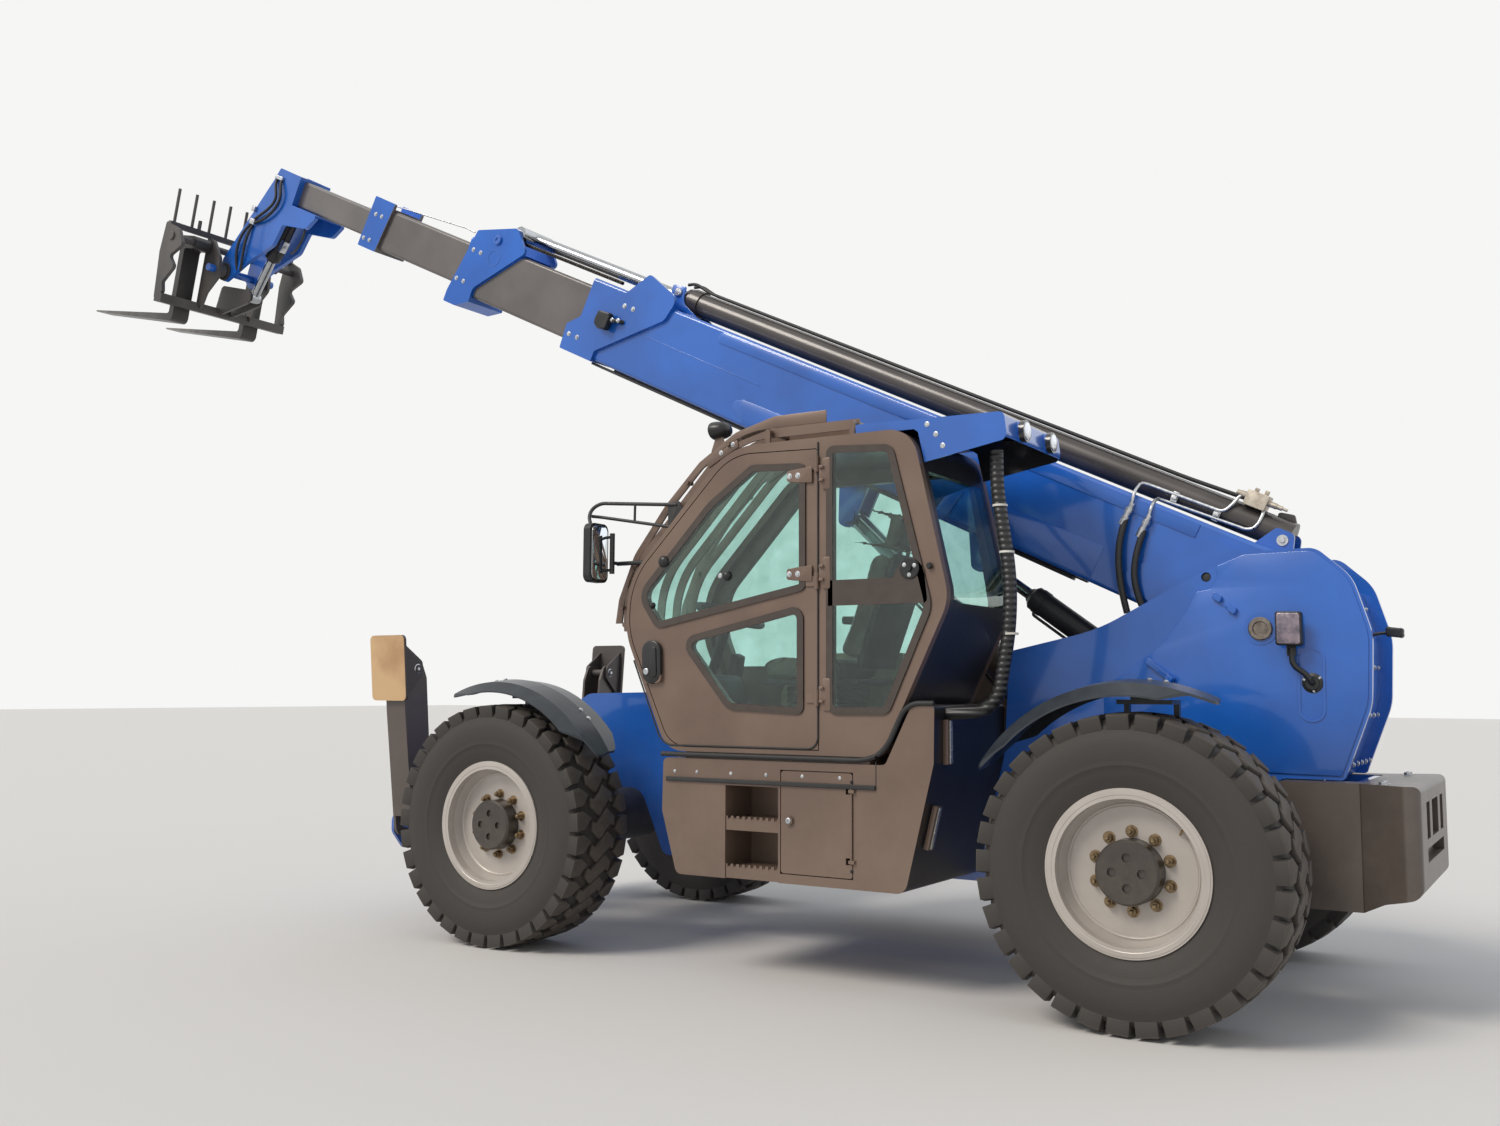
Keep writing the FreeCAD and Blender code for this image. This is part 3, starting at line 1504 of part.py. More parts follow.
def engine_side():
    """Engine pod on the right with its plain engine block, and the hood over it."""
    inner = -d.frame_half - d.frame_wall
    wall = 30
    tub = plate(
        ((-820, d.box_floor, 60), (720, d.box_floor, 60), (850, 760, 60), (850, 905),
         (d.pod_rear, 905), (d.pod_rear, 760, 60)),
        d.hood_face, inner,
    )
    back = block((d.pod_rear, 850), (-435, inner), (905, d.hood_top))
    engine = block((-620, 480), (-1070, -520), (905, 1470))
    hinge_y, hinge_z = d.hood_hinge_y, d.hood_top + d.hood_hinge_up
    ears = []
    knuckles = []
    for x in (-700, 560):
        for near in (x, x + 100):
            ears.append(block((near, near + 10), (hinge_y - 12, -400), (hinge_z - 12, hinge_z + 16)))
            ears.append(block((near, near + 10), (-434, -400), (d.hood_top - 20, hinge_z + 16)))
        ears.append(rod("x", (hinge_y, hinge_z), x, x + 110, 8))
        barrel = joined([
            rod("x", (hinge_y, hinge_z), x + 15, x + 95, 16),
            block((x + 15, x + 95), (hinge_y - 50, hinge_y - 8), (d.hood_top - 5, hinge_z)),
        ])
        knuckles.append(minus(barrel, [
            rod("x", (hinge_y, hinge_z), x, x + 110, 8 + d.seat_gap)]))
    node("engine_pod", joined([tub, back, engine] + ears))
    near = -435 - d.side_gap
    profile = (
        (near, 910), (d.hood_face, 910), (d.hood_face, 1370, 120), (-1080, d.hood_top, 120),
        (near, d.hood_top),
    )
    shell = plate(profile, d.pod_rear, 850, "x")
    space = plate(
        (
            (near + 10, 900), (d.hood_face + wall, 900), (d.hood_face + wall, 1360, 95),
            (-1070, d.hood_top - wall, 95), (near + 10, d.hood_top - wall),
        ),
        d.pod_rear + wall, 850 - wall, "x",
    )
    node("engine_hood", joined([minus(shell, [space])] + knuckles))


def mirrors():
    """Left mirror on its two bars."""
    face = plate(
        ((1150, 2010, 40), (1308, 2010, 40), (1308, 2330, 40), (1150, 2330, 40)),
        1040, 1085, "x",
    )
    bars = [rod("x", (1165, z), 1000, 1060, 8) for z in (2080, 2260)]
    post = rod("z", (1000, 1165), 2060, 2280, 14)
    arm = [
        rod("x", (1100, 2120), 700, 1012, 12),
        rod("y", (1000, 2120), 1100, 1165, 10),
    ]
    cab = plate(CAB, 0, 1135)
    node("mirror", joined([face, post] + bars + [minus(joined(arm), [cab])]))


# Held hoses: radius, points along the route
HOSES = (
    (32, ((-1167, 1030, 2560), (-1167, 1030, 2383), (-1243, 1030, 1855), (-1153, 1030, 1348),
          (-906.5, 1030, 1330))),
)


def hose(radius, route):
    """A hose along straight runs with tangent arcs between them."""
    points = [Vector(*p) for p in route]
    edges = []
    start = points[0]
    for before, corner, after in zip(points, points[1:], points[2:]):
        back, ahead = before - corner, after - corner
        half = back.getAngle(ahead) / 2
        cut = 0.45 * min(back.Length, ahead.Length)
        bend = cut * math.tan(half)
        print("hose bend radius %.0f" % bend)
        come = corner + back.normalize() * cut
        leave = corner + ahead.normalize() * cut
        centre = corner + (back + ahead).normalize() * (cut / math.cos(half))
        middle = centre + (corner - centre).normalize() * bend
        edges.append(Part.makeLine(start, come))
        edges.append(Part.Arc(come, middle, leave).toShape())
        start = leave
    edges.append(Part.makeLine(start, points[-1]))
    path = Part.Wire(edges)
    ahead = (points[1] - points[0]).normalize()
    circle = Part.Wire(Part.Circle(points[0], ahead, radius).toShape())
    feature = doc.addObject("Part::Feature", "Hose")
    feature.Shape = path.makePipeShell([circle], True, True)
    return feature


def hoses():
    """The hoses that stay in place."""
    node("hoses", group([hose(radius, route) for radius, route in HOSES]))


def export():
    """Check every sub-part and write its file."""
    doc.recompute()
    faulty = [o.Name for o in doc.Objects if "Invalid" in o.State or "Error" in o.State]
    if faulty:
        raise RuntimeError("faulty objects: " + ", ".join(faulty))
    os.makedirs("parts", exist_ok=True)
    for label, piece in nodes.items():
        if piece.Shape.isNull() or not piece.Shape.isValid():
            raise RuntimeError(label + " is not a valid shape")
        piece.Shape.exportStep("parts/" + label + ".step")
    print("%d nodes" % len(nodes))


wheels()
frame()
tower()
counterweight()
boom_outer()
boom_second()
boom_third()
boom_fourth()
extension_cylinder()
cylinders()
carriage()
forks()
stabilisers()
cab_walls()
glass()
cab_door()
roof_guard()
visor()
cab_inside()
step_box()
engine_side()
mirrors()
hoses()
export()
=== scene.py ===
"""Dressed scene of a telescopic handler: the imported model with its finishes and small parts."""
import bpy
import math
from mathutils import Matrix, Vector


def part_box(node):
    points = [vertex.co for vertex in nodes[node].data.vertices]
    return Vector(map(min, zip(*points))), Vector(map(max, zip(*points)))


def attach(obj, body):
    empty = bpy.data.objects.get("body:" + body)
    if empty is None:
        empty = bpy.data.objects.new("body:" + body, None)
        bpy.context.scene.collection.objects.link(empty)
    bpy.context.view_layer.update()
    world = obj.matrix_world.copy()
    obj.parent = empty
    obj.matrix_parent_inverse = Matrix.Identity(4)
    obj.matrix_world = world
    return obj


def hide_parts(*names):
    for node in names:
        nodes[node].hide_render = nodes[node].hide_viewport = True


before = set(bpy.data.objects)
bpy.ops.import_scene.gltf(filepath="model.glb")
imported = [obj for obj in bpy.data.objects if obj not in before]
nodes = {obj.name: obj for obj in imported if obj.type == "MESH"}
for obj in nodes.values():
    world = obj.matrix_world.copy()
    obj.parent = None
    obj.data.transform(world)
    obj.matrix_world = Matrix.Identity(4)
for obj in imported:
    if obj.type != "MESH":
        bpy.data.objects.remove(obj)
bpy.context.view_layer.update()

# The camera stands behind the vehicle's left side at eye height, and looks forward
# and a little up. Its place and lens come from the photograph's perspective. lens_pixels is
# the focal length in pixels of a picture 1500 wide.
camera_place = Vector((-5.713, 6.993, 1.436))
camera_yaw, camera_pitch, camera_roll = (math.radians(a) for a in (32.204, 5.328, 0.262))
lens_pixels = 1360.73
picture_pixels = 1500
look = Vector((
    math.sin(camera_yaw) * math.cos(camera_pitch),
    -math.cos(camera_yaw) * math.cos(camera_pitch),
    math.sin(camera_pitch),
))
level_right = look.cross(Vector((0, 0, 1))).normalized()
level_up = level_right.cross(look)
right = level_right * math.cos(camera_roll) + level_up * math.sin(camera_roll)
up = level_up * math.cos(camera_roll) - level_right * math.sin(camera_roll)
bpy.ops.object.camera_add()
camera = bpy.context.object
camera.matrix_world = Matrix((
    (right.x, up.x, -look.x, camera_place.x),
    (right.y, up.y, -look.y, camera_place.y),
    (right.z, up.z, -look.z, camera_place.z),
    (0, 0, 0, 1),
))
camera.data.sensor_width = 36
camera.data.lens = lens_pixels * camera.data.sensor_width / picture_pixels
camera.data.clip_end = 200
bpy.context.scene.camera = camera
bpy.context.scene.view_settings.view_transform = "Standard"


# The floor is a plain pale sheet, and the world behind it is a plain pale grey. Camera,
# mirror and glass rays see the pale backdrop, while the light on the object stays plain.
def linear(code):
    """An sRGB hex colour as linear light."""
    parts = [int(code[i:i + 2], 16) / 255 for i in (0, 2, 4)]
    return tuple(c / 12.92 if c <= 0.04045 else ((c + 0.055) / 1.055) ** 2.4
                 for c in parts) + (1,)


def add(tree, kind, settings):
    """Add a shader node. A value that is a socket is linked, and a node by its first output."""
    node = tree.nodes.new("ShaderNode" + kind)
    for name, value in settings.items():
        if isinstance(value, bpy.types.Node):
            value = value.outputs[0]
        if isinstance(value, bpy.types.NodeSocket):
            tree.links.new(value, node.inputs[name])
        elif isinstance(name, int) or name in node.inputs:
            node.inputs[name].default_value = value
        else:
            setattr(node, name, value)
    return node


def new_material(name):
    """An empty material, its node tree and the object coordinates in it."""
    material = bpy.data.materials.new(name)
    material.use_nodes = True
    material.node_tree.nodes.clear()
    place = add(material.node_tree, "TexCoord", {}).outputs["Object"]
    return material, material.node_tree, place


def surface(material, settings):
    """End a material with its shader and output."""
    tree = material.node_tree
    add(tree, "OutputMaterial", {"Surface": add(tree, "BsdfPrincipled", settings)})
    return material


def deselect():
    """Leave edit mode and drop the selection."""
    if bpy.context.object and bpy.context.object.mode == "EDIT":
        bpy.ops.object.mode_set(mode="OBJECT")
    bpy.ops.object.select_all(action="DESELECT")


world = bpy.context.scene.world or bpy.data.worlds.new("Studio")
bpy.context.scene.world = world
world.use_nodes = True
sky = world.node_tree
sky.nodes.clear()
rays = add(sky, "LightPath", {}).outputs
straight = add(sky, "Math", {"operation": "MAXIMUM", 0: rays["Is Camera Ray"],
                             1: rays["Is Transmission Ray"]})
seen = add(sky, "Math", {"operation": "MAXIMUM", 0: straight, 1: rays["Is Glossy Ray"]})
ambient = add(sky, "Background", {"Color": linear("E6ECF4"), "Strength": 0.6})
backdrop = add(sky, "Background", {"Color": linear("F6F6F5"), "Strength": 1.0})
both = add(sky, "MixShader", {0: seen, 1: ambient, 2: backdrop})
add(sky, "OutputWorld", {"Surface": both})

deselect()
bpy.ops.mesh.primitive_plane_add(size=160, location=(0, 0, 0))
floor = bpy.context.object
floor.name = "studio_floor"
floor.data.materials.append(surface(new_material("smooth pale studio floor")[0], {
    "Base Color": linear("DAD7D3"), "Roughness": 0.85}))

# A broad soft key stands high ahead of the vehicle's left side, so that its rear faces fall
# into shade, and a weak broad fill stands behind the right side.
for place, strength, spread, tint in (
    ((5.0, 10.0, 11.0), 1.9, 24, "FFF8EE"),
    ((-6.0, -9.0, 8.0), 0.35, 60, "EAF0FF"),
):
    bpy.ops.object.light_add(type="SUN", location=place)
    lamp = bpy.context.object
    lamp.data.energy = strength
    lamp.data.angle = math.radians(spread)
    lamp.data.color = linear(tint)[:3]
    lamp.rotation_euler = (-Vector(place)).to_track_quat("-Z", "Y").to_euler()

# The frame is welded from thick steel plate, blasted and sprayed with gloss blue two-pack
# paint: two side plates, the curved tower plates that carry the boom, and a sheet cover
# behind them held by rows of small bolts. Lengths are in mm from here on.
middle_x = (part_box("tyre_fl")[0][0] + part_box("tyre_rl")[1][0]) / 2
vehicle = Matrix.Translation((middle_x, 0, 0)) @ Matrix.Scale(0.001, 4)
sides = ((1, "_left"), (-1, "_right"))


def patches(tree, noise, ends, codes):
    """Two colours that drift into each other as a noise with these settings does, and it."""
    cloud = add(tree, "TexNoise", noise)
    ramp = add(tree, "ValToRGB", {"Fac": cloud})
    for element, spot, code in zip(ramp.color_ramp.elements, ends, codes):
        element.position = spot
        element.color = linear(code)
    return ramp, cloud


def sprayed_steel(name, colour, deep, roughness, gloss, metal=0.0, dust=0.35, over=None):
    """Paint on steel. over, if given, is a function for the area of a second paint, with that
    paint's two colours."""
    material, tree, place = new_material(name)
    # slow changes of shade over a hand's breadth, as sprayed paint has
    cloud = {"Scale": 1000 / 420, "Detail": 4, "Vector": place}
    paint = patches(tree, cloud, (0.38, 0.62), (deep, colour))[0].outputs[0]
    if over:
        area, *codes = over
        second = patches(tree, cloud, (0.38, 0.62), codes[::-1])[0]
        paint = add(tree, "Mix", {"data_type": "RGBA", "Factor": area(tree, place), "A": paint,
                                  "B": second}).outputs["Result"]
    # road dust settles towards the ground, in speckles
    height = add(tree, "SeparateXYZ", {"Vector": place}).outputs["Z"]
    low = add(tree, "MapRange", {"Value": height, "From Min": 1.3, "From Max": 0.25,
                                 "To Min": 0.0, "To Max": dust})
    speckle = add(tree, "TexNoise", {"Scale": 1000 / 60, "Detail": 8, "Roughness": 0.7,
                                     "Vector": place})
    spread = add(tree, "Math", {"operation": "MULTIPLY", 0: low, 1: speckle})
    coat = add(tree, "Mix", {"data_type": "RGBA", "Factor": spread, "A": paint,
                             "B": linear("9A8B7A")})
    rub = add(tree, "MapRange", {"Value": speckle, "To Min": roughness - 0.05,
                                 "To Max": roughness + 0.12})
    # orange peel, real 2 to 3 mm across, drawn 6 mm to show
    peel = add(tree, "TexNoise", {"Scale": 1000 / 6, "Detail": 1, "Vector": place})
    # a plate's own slow waves from welding, 300 mm long and a fraction of a millimetre deep
    wave = add(tree, "TexNoise", {"Scale": 1000 / 300, "Detail": 1, "Vector": place})
    flat = add(tree, "Bump", {"Strength": 0.25, "Distance": 0.004, "Height": wave})
    bump = add(tree, "Bump", {"Strength": 0.06, "Distance": 0.0006, "Height": peel,
                              "Normal": flat})
    return surface(material, {
        "Base Color": coat.outputs["Result"], "Roughness": rub, "Normal": bump,
        "Metallic": metal, "Coat Weight": gloss, "Coat Roughness": 0.08})


def surfaced(name, colour, deep, roughness, grain, bump=0.15, metal=0.0, patch=80):
    """A moulded, plated or bare surface: two shades in patches, over a grain, both in mm."""
    material, tree, place = new_material(name)
    shade, cloud = patches(tree, {"Scale": 1000 / patch, "Detail": 6, "Roughness": 0.6,
                                  "Vector": place}, (0.36, 0.64), (deep, colour))
    rub = add(tree, "MapRange", {"Value": cloud, "To Min": roughness - 0.06,
                                 "To Max": roughness + 0.08})
    pores = add(tree, "TexNoise", {"Scale": 1000 / grain, "Detail": 3, "Vector": place})
    relief = add(tree, "Bump", {"Strength": bump, "Distance": grain / 3000, "Height": pores})
    return surface(material, {"Base Color": shade, "Roughness": rub, "Normal": relief,
                              "Metallic": metal})


def finish(material, *names):
    """Give CAD nodes a material."""
    for name in names:
        for slot in nodes[name].material_slots:
            slot.material = material


def fit(piece, name, material, body="chassis", place=vehicle, smooth=30):
    """Move a piece's mesh to its place, name it, give it its finish and the body it rides on."""
    deselect()
    piece.data.transform(place)
    piece.name = name
    piece.data.materials.clear()
    piece.data.materials.append(material)
    piece.select_set(True)
    bpy.context.view_layer.objects.active = piece
    bpy.ops.object.shade_smooth_by_angle(angle=math.radians(smooth))
    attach(piece, body)
    return piece


def outline(corners, fill="NOTHING"):
    """A flat closed outline through the corners, left selected in edit mode."""
    deselect()
    bpy.ops.mesh.primitive_circle_add(vertices=len(corners), radius=1, fill_type=fill)
    piece = bpy.context.object
    for vertex, corner in zip(piece.data.vertices, corners):
        vertex.co = corner
    bpy.ops.object.mode_set(mode="EDIT")
    bpy.ops.mesh.select_all(action="SELECT")
    return piece


def slab(corners, lift, bevel=0.0, segments=2):
    """A flat outline pushed out by the vector lift, with its edges bevelled."""
    piece = outline(corners, "NGON")
    bpy.ops.mesh.extrude_region_move(TRANSFORM_OT_translate={"value": lift})
    bpy.ops.mesh.select_all(action="SELECT")
    bpy.ops.mesh.normals_make_consistent(inside=False)
    if bevel:
        bpy.ops.mesh.bevel(offset=bevel, segments=segments, affect="EDGES")
    deselect()
    return piece


def rounded(corners, steps=5):
    """The points of an outline of (across, up) or (across, up, radius) corners."""
    points = []
    for i, corner in enumerate(corners):
        spot = Vector(corner[:2])
        if len(corner) < 3:
            points.append(spot)
            continue
        back = (Vector(corners[i - 1][:2]) - spot).normalized()
        ahead = (Vector(corners[(i + 1) % len(corners)][:2]) - spot).normalized()
        half = back.angle(ahead) / 2
        centre = spot + (back + ahead).normalized() * (corner[2] / math.sin(half))
        start = spot + back * (corner[2] / math.tan(half)) - centre
        end = spot + ahead * (corner[2] / math.tan(half)) - centre
        sweep = start.angle_signed(end)
        points += [centre + Matrix.Rotation(-sweep * s / steps, 2) @ start
                   for s in range(steps + 1)]
    return points


def box(left, low, right, high, radius=None):
    """The corners of a rectangle, rounded if a radius is given."""
    corners = ((left, low), (right, low), (right, high), (left, high))
    return [corner + (radius,) for corner in corners] if radius else corners


def plate(corners, low, high, bevel=1.5, axis="y"):
    """A plate: its rounded outline lies square to the axis, from low to high along it."""
    at_axis = "xyz".index(axis)
    spots = [(*p[:at_axis], low, *p[at_axis:]) for p in rounded(corners)]
    return slab(spots, [high - low if i == at_axis else 0 for i in range(3)], bevel)


def spun(section, steps=32):
    """A closed section of (along, radius) corners spun about the Y axis."""
    piece = outline([(0, along, radius) for along, radius in section])
    bpy.ops.mesh.spin(steps=steps, angle=math.tau, center=(0, 0, 0), axis=(0, 1, 0))
    bpy.ops.mesh.select_all(action="SELECT")
    bpy.ops.mesh.remove_doubles(threshold=0.00001)
    bpy.ops.mesh.normals_make_consistent(inside=False)
    deselect()
    return piece


def disc(radius, low, high, rim=3, cut=4, steps=24):
    """A spun disc from low to high along Y, its high rim chamfered by rim along and cut across."""
    return spun(((low, 0.5), (low, radius), (high - rim, radius), (high, radius - cut),
                 (high, 0.5)), steps)


def merged(pieces):
    """Join pieces into the first one."""
    deselect()
    for piece in pieces:
        piece.select_set(True)
    bpy.context.view_layer.objects.active = pieces[0]
    bpy.ops.object.join()
    return bpy.context.object


def copied(piece, moves):
    """A copy of the piece at each move, with its own mesh."""
    copies = []
    for move in moves:
        copy = piece.copy()
        copy.data = piece.data.copy()
        copy.data.transform(move)
        bpy.context.collection.objects.link(copy)
        copies.append(copy)
    return copies


def repeated(piece, moves):
    """One mesh of the piece's copies at the moves."""
    copies = merged(copied(piece, moves))
    bpy.data.objects.remove(piece)
    return copies


def at(*spot):
    """The move to a spot."""
    return Matrix.Translation(spot)


def turned(degrees, axis):
    """A turn about an axis through the origin."""
    return Matrix.Rotation(math.radians(degrees), 4, axis)


def moved(piece, move):
    """The piece after a move of its mesh."""
    piece.data.transform(move)
    return piece


def sided(piece, side):
    """The piece, or its mirror image for the right side."""
    if side < 0:
        piece.data.transform(Matrix.Scale(-1, 4, (0, 1, 0)))
        piece.data.flip_normals()
    return piece


def twinned(piece):
    """The piece joined with its mirror image across the vehicle's middle."""
    return merged([piece, sided(copied(piece, [Matrix()])[0], -1)])


def facing(spot, direction):
    """The move that stands a piece made along +Y at a spot, looking along a direction."""
    return Matrix.Translation(spot) @ Vector(direction).to_track_quat("Y", "Z").to_matrix().to_4x4()


# zinc plate passivated clear: pale bright metal with a faint blue cast
bright_zinc = surfaced("clear passivated zinc plate", "D4D6D8", "AEB2B8", 0.32, 3, 0.08, 1.0, 25)


def bolts(name, spots, body="chassis", direction=(0, 1, 0), radius=9, head=7, place=vehicle,
          material=bright_zinc):
    """Hexagon heads on washers, all looking one way."""
    corners = [(radius * math.sin(i * math.tau / 6), 2, radius * math.cos(i * math.tau / 6))
               for i in range(6)]
    screw = merged([
        slab(corners, (0, head, 0), 1.2, 1),
        spun(((0, 0.5), (0, radius * 1.45), (2, radius * 1.45), (2.4, radius * 1.3),
              (2.4, 0.5)), 16),
    ])
    fit(repeated(screw, [facing(s, direction) for s in spots]), name, material, body, place)


def border(corners, width, low, high):
    """A flat band along the inside of an outline, from low to high across the vehicle."""
    piece = outline([(p[0], low, p[1]) for p in rounded(corners)], "NGON")
    bpy.ops.mesh.inset(thickness=width)
    bpy.ops.mesh.delete(type="FACE")
    bpy.ops.mesh.select_all(action="SELECT")
    bpy.ops.mesh.extrude_region_move(TRANSFORM_OT_translate={"value": (0, high - low, 0)})
    bpy.ops.mesh.select_all(action="SELECT")
    bpy.ops.mesh.normals_make_consistent(inside=False)
    deselect()
    return piece


def tube(name, route, radius, bend, material, body="chassis", place=vehicle):
    """A tube of straight runs rounded at the corners by bend, or a hose if bend is None."""
    deselect()
    mesh = bpy.data.meshes.new(name)
    mesh.from_pydata(route, [(i, i + 1) for i in range(len(route) - 1)], [])
    line = bpy.data.objects.new(name, mesh)
    bpy.context.collection.objects.link(line)
    line.select_set(True)
    bpy.context.view_layer.objects.active = line
    for i, vertex in enumerate(mesh.vertices):
        vertex.select = 0 < i < len(route) - 1
    if bend:
        bpy.ops.object.mode_set(mode="EDIT")
        bpy.ops.mesh.bevel(offset=bend, segments=6, affect="VERTICES")
        bpy.ops.object.mode_set(mode="OBJECT")
    bpy.ops.object.convert(target="CURVE")
    curve = bpy.context.object.data
    if not bend:
        curve.splines[0].type = "NURBS"
        curve.splines[0].order_u = 4
        curve.splines[0].use_endpoint_u = True
        curve.splines[0].resolution_u = 6
    curve.bevel_depth = radius
    curve.bevel_resolution = 3
    curve.use_fill_caps = True
    bpy.ops.object.convert(target="MESH")
    fit(bpy.context.object, name, material, body, place, 50)


blues = ("1866C8", "145BB6")
blue_paint = sprayed_steel("gloss blue two-pack paint", *blues, 0.3, 0.8)
black_paint = sprayed_steel("satin black chassis paint", "2A2A2C", "222224", 0.5, 0.1)
finish(blue_paint, "chassis_frame", "boom_tower")

tower_face = 345
cover_bolts = []
for height in (1841, 1556, 1330, 1110):
    # the cover's bulge: its rear face at this height
    back = -2539 - 66 * math.sin(math.pi * min(1, (1925 - height) / 860))
    cover_bolts += [(back - 3, y, height) for y in (-250, -120, 0, 120, 250)]
bolts("cover_bolts", cover_bolts, direction=(-1, 0, 0))
oiled_steel = surfaced("oiled turned steel", "8C837B", "6B635C", 0.38, 3, 0.1, 0.9, 30)
for side, label in sides:
    # a second plate covers the rear of the tower plate, cut round the tie-down hole. A raised
    # ring, two hooks with a link, and an angled rail stand on it.
    trims = [
        plate(((-1990, 2030, 20), (-2004, 1978, 40), (-1974, 1926, 34), (-1900, 1912, 20),
               (-1841, 1808, 60), (-1730, 1661, 200), (-1505, 1502, 60), (-1440, 1440, 30),
               (-1440, 1080), (-2520, 1062), (-2640, 1390, 290), (-2652, 1700, 290),
               (-2578, 1952, 190), (-2434, 2086, 84), (-2124, 2082, 110)), tower_face - 2,
              tower_face + 8, 2),
        border(((-2462, 1302, 56), (-2346, 1302, 56), (-2352, 1642, 56), (-2468, 1642, 56)), 9,
               tower_face + 6, tower_face + 14),
        plate(((-2050, 1832), (-1996, 1878), (-1990, 1870), (-2044, 1824)), tower_face,
              tower_face + 12, 2),
        plate(((-1795, 1500, 6), (-1668, 1600, 6), (-1650, 1578, 6), (-1776, 1478, 6)),
              tower_face - 2, tower_face + 32, 3),
        plate(((-1795, 1500, 6), (-1770, 1520, 6), (-1752, 1498, 6), (-1776, 1478, 6)),
              tower_face - 2, tower_face + 60, 3),
    ]
    for x, z in ((-2010, 1856), (-2076, 1798)):
        trims.append(plate(((x, z, 6), (x + 34, z + 24, 6), (x + 22, z + 52, 6),
                            (x - 14, z + 28, 6)), tower_face - 2, tower_face + 30, 3))
    cap = moved(spun(((12, 0.5), (12, 54), (22, 54), (25, 50), (25, 34), (18, 31), (18, 0.5)),
                     40), at(-2190, tower_face, 1731))
    fit(sided(merged(trims), side), "tower_trim" + label, blue_paint)
    fit(sided(cap, side), "pivot_cap" + label, oiled_steel)
    # the tie-down hole is dark: a black disc sits in it below the face, painted shade for the dark
    # inside the hole
    hole_shade_disc = spun(((-8, 0.5), (-8, 22.5), (0, 22.5), (2, 18), (2, 0.5)), 24)
    fit(moved(hole_shade_disc, at(-1946, side * (tower_face - 10), 1983)), "tie_hole_shade_disc" + label,
        black_paint)

# The work lamp on the tower is a square lamp in a die-cast black housing, on a bent steel
# arm whose round foot is held by three screws. A small camera on a stalk looks rearwards.
lamp_black = surfaced("black glass-filled nylon", "26282A", "1C1D1F", 0.45, 2, 0.1)
lamp_glass, lamp_tree, lamp_place = new_material("clear pressed lamp glass over a reflector")
# a pressed lens: fluting 12 mm wide over a bright bowl
flutes = add(lamp_tree, "TexVoronoi", {"Scale": 1000 / 12, "Vector": lamp_place})
flute_bump = add(lamp_tree, "Bump", {"Strength": 0.5, "Distance": 0.003, "Height": flutes})
surface(lamp_glass, {"Base Color": linear("DDE2E6"), "Metallic": 0.75, "Roughness": 0.18,
                     "Coat Weight": 1.0, "Normal": flute_bump})
fit(merged([
    plate(((-2388, 1646, 14), (-2388, 1802, 14), (-2272, 1806, 14), (-2272, 1650, 14)), 408, 452,
          6),
    plate(((-2352, 1600, 10), (-2352, 1660), (-2312, 1660), (-2312, 1600, 10)), 400, 408, 2),
]), "work_lamp", lamp_black)
# its lens still has the maker's film on, wrinkled and mauve
film = surfaced("clear film over lamp glass", "A0919A", "6F6874", 0.22, 14, 0.5, 0.2, 40)
fit(plate(((-2380, 1654, 10), (-2380, 1794, 10), (-2280, 1798, 10), (-2280, 1658, 10)), 450,
          459, 3), "work_lamp_lens", film)
foot_x, foot_z = -2410, 1479
tube("work_lamp_arm", [(-2332, 404, 1640), (-2335, 404, 1560), (-2400, 392, 1510),
                       (foot_x, 385, foot_z), (foot_x, tower_face, foot_z)], 13, 24, lamp_black)
fit(spun(((0, 0.5), (0, 46), (10, 46), (16, 32), (22, 30), (22, 0.5))), "work_lamp_foot",
    lamp_black, place=vehicle @ at(foot_x, tower_face, foot_z))
bolts("work_lamp_screws", [(foot_x + 37 * math.cos(a), tower_face + 9, foot_z + 37 * math.sin(a))
                           for a in (0.4, 2.5, 4.6)], radius=6, head=4)
tube("camera_stalk", [(-2590, 0, 1700), (-2660, 0, 1716), (-2690, 0, 1716)], 8, 20, lamp_black)
fit(plate(((-2755, 1690, 12), (-2755, 1735, 12), (-2680, 1745, 12), (-2680, 1700, 12)), -30, 30,
          8), "rear_camera", lamp_black)

# The axles and steering knuckles are iron castings with a sand-cast skin under black paint.
cast_iron = surfaced("black painted sand-cast iron", "36353A", "28272A", 0.55, 5, 0.5)
finish(cast_iron, "axle_front", "axle_rear", "knuckle_fl", "knuckle_fr", "knuckle_rl",
       "knuckle_rr")

# Tyres: radial earthmover tyres, moulded in black rubber. A spun carcass carries three rows
# of tread blocks, moulded in one with it: pointed shoulder blocks and stepped centre blocks.
tyre_radius, tyre_crown, tread_pitches = 0.675, 0.008, 33
half_width, foot_half_width = 0.217, 0.2065
# the section of the carcass's outer half in metres, from the bead to the crown
tyre_section = (
    (0.176, 0.3235), (0.181, 0.335), (0.181, 0.356), (0.189, 0.372), (0.200, 0.395),
    (0.209, 0.424), (0.2135, 0.446), (0.2165, 0.450), (0.2175, 0.456), (0.2165, 0.462),
    (0.2190, 0.475), (0.2225, 0.510), (0.2215, 0.545), (0.2165, 0.575), (0.2085, 0.596),
    (0.2075, 0.602), (0.2045, 0.604), (0.196, 0.618), (0.180, 0.632), (0.150, 0.643),
    (0.100, 0.648), (0.045, 0.650),
)
centre_block = ((-32, 82), (-98, 34), (-92, -18), (-60, -3), (32, -82), (98, -34), (92, 18),
                (60, 3))
shoulder_block = ((100, 36), (155, -22), (217, -30), (217, 68), (165, 79))


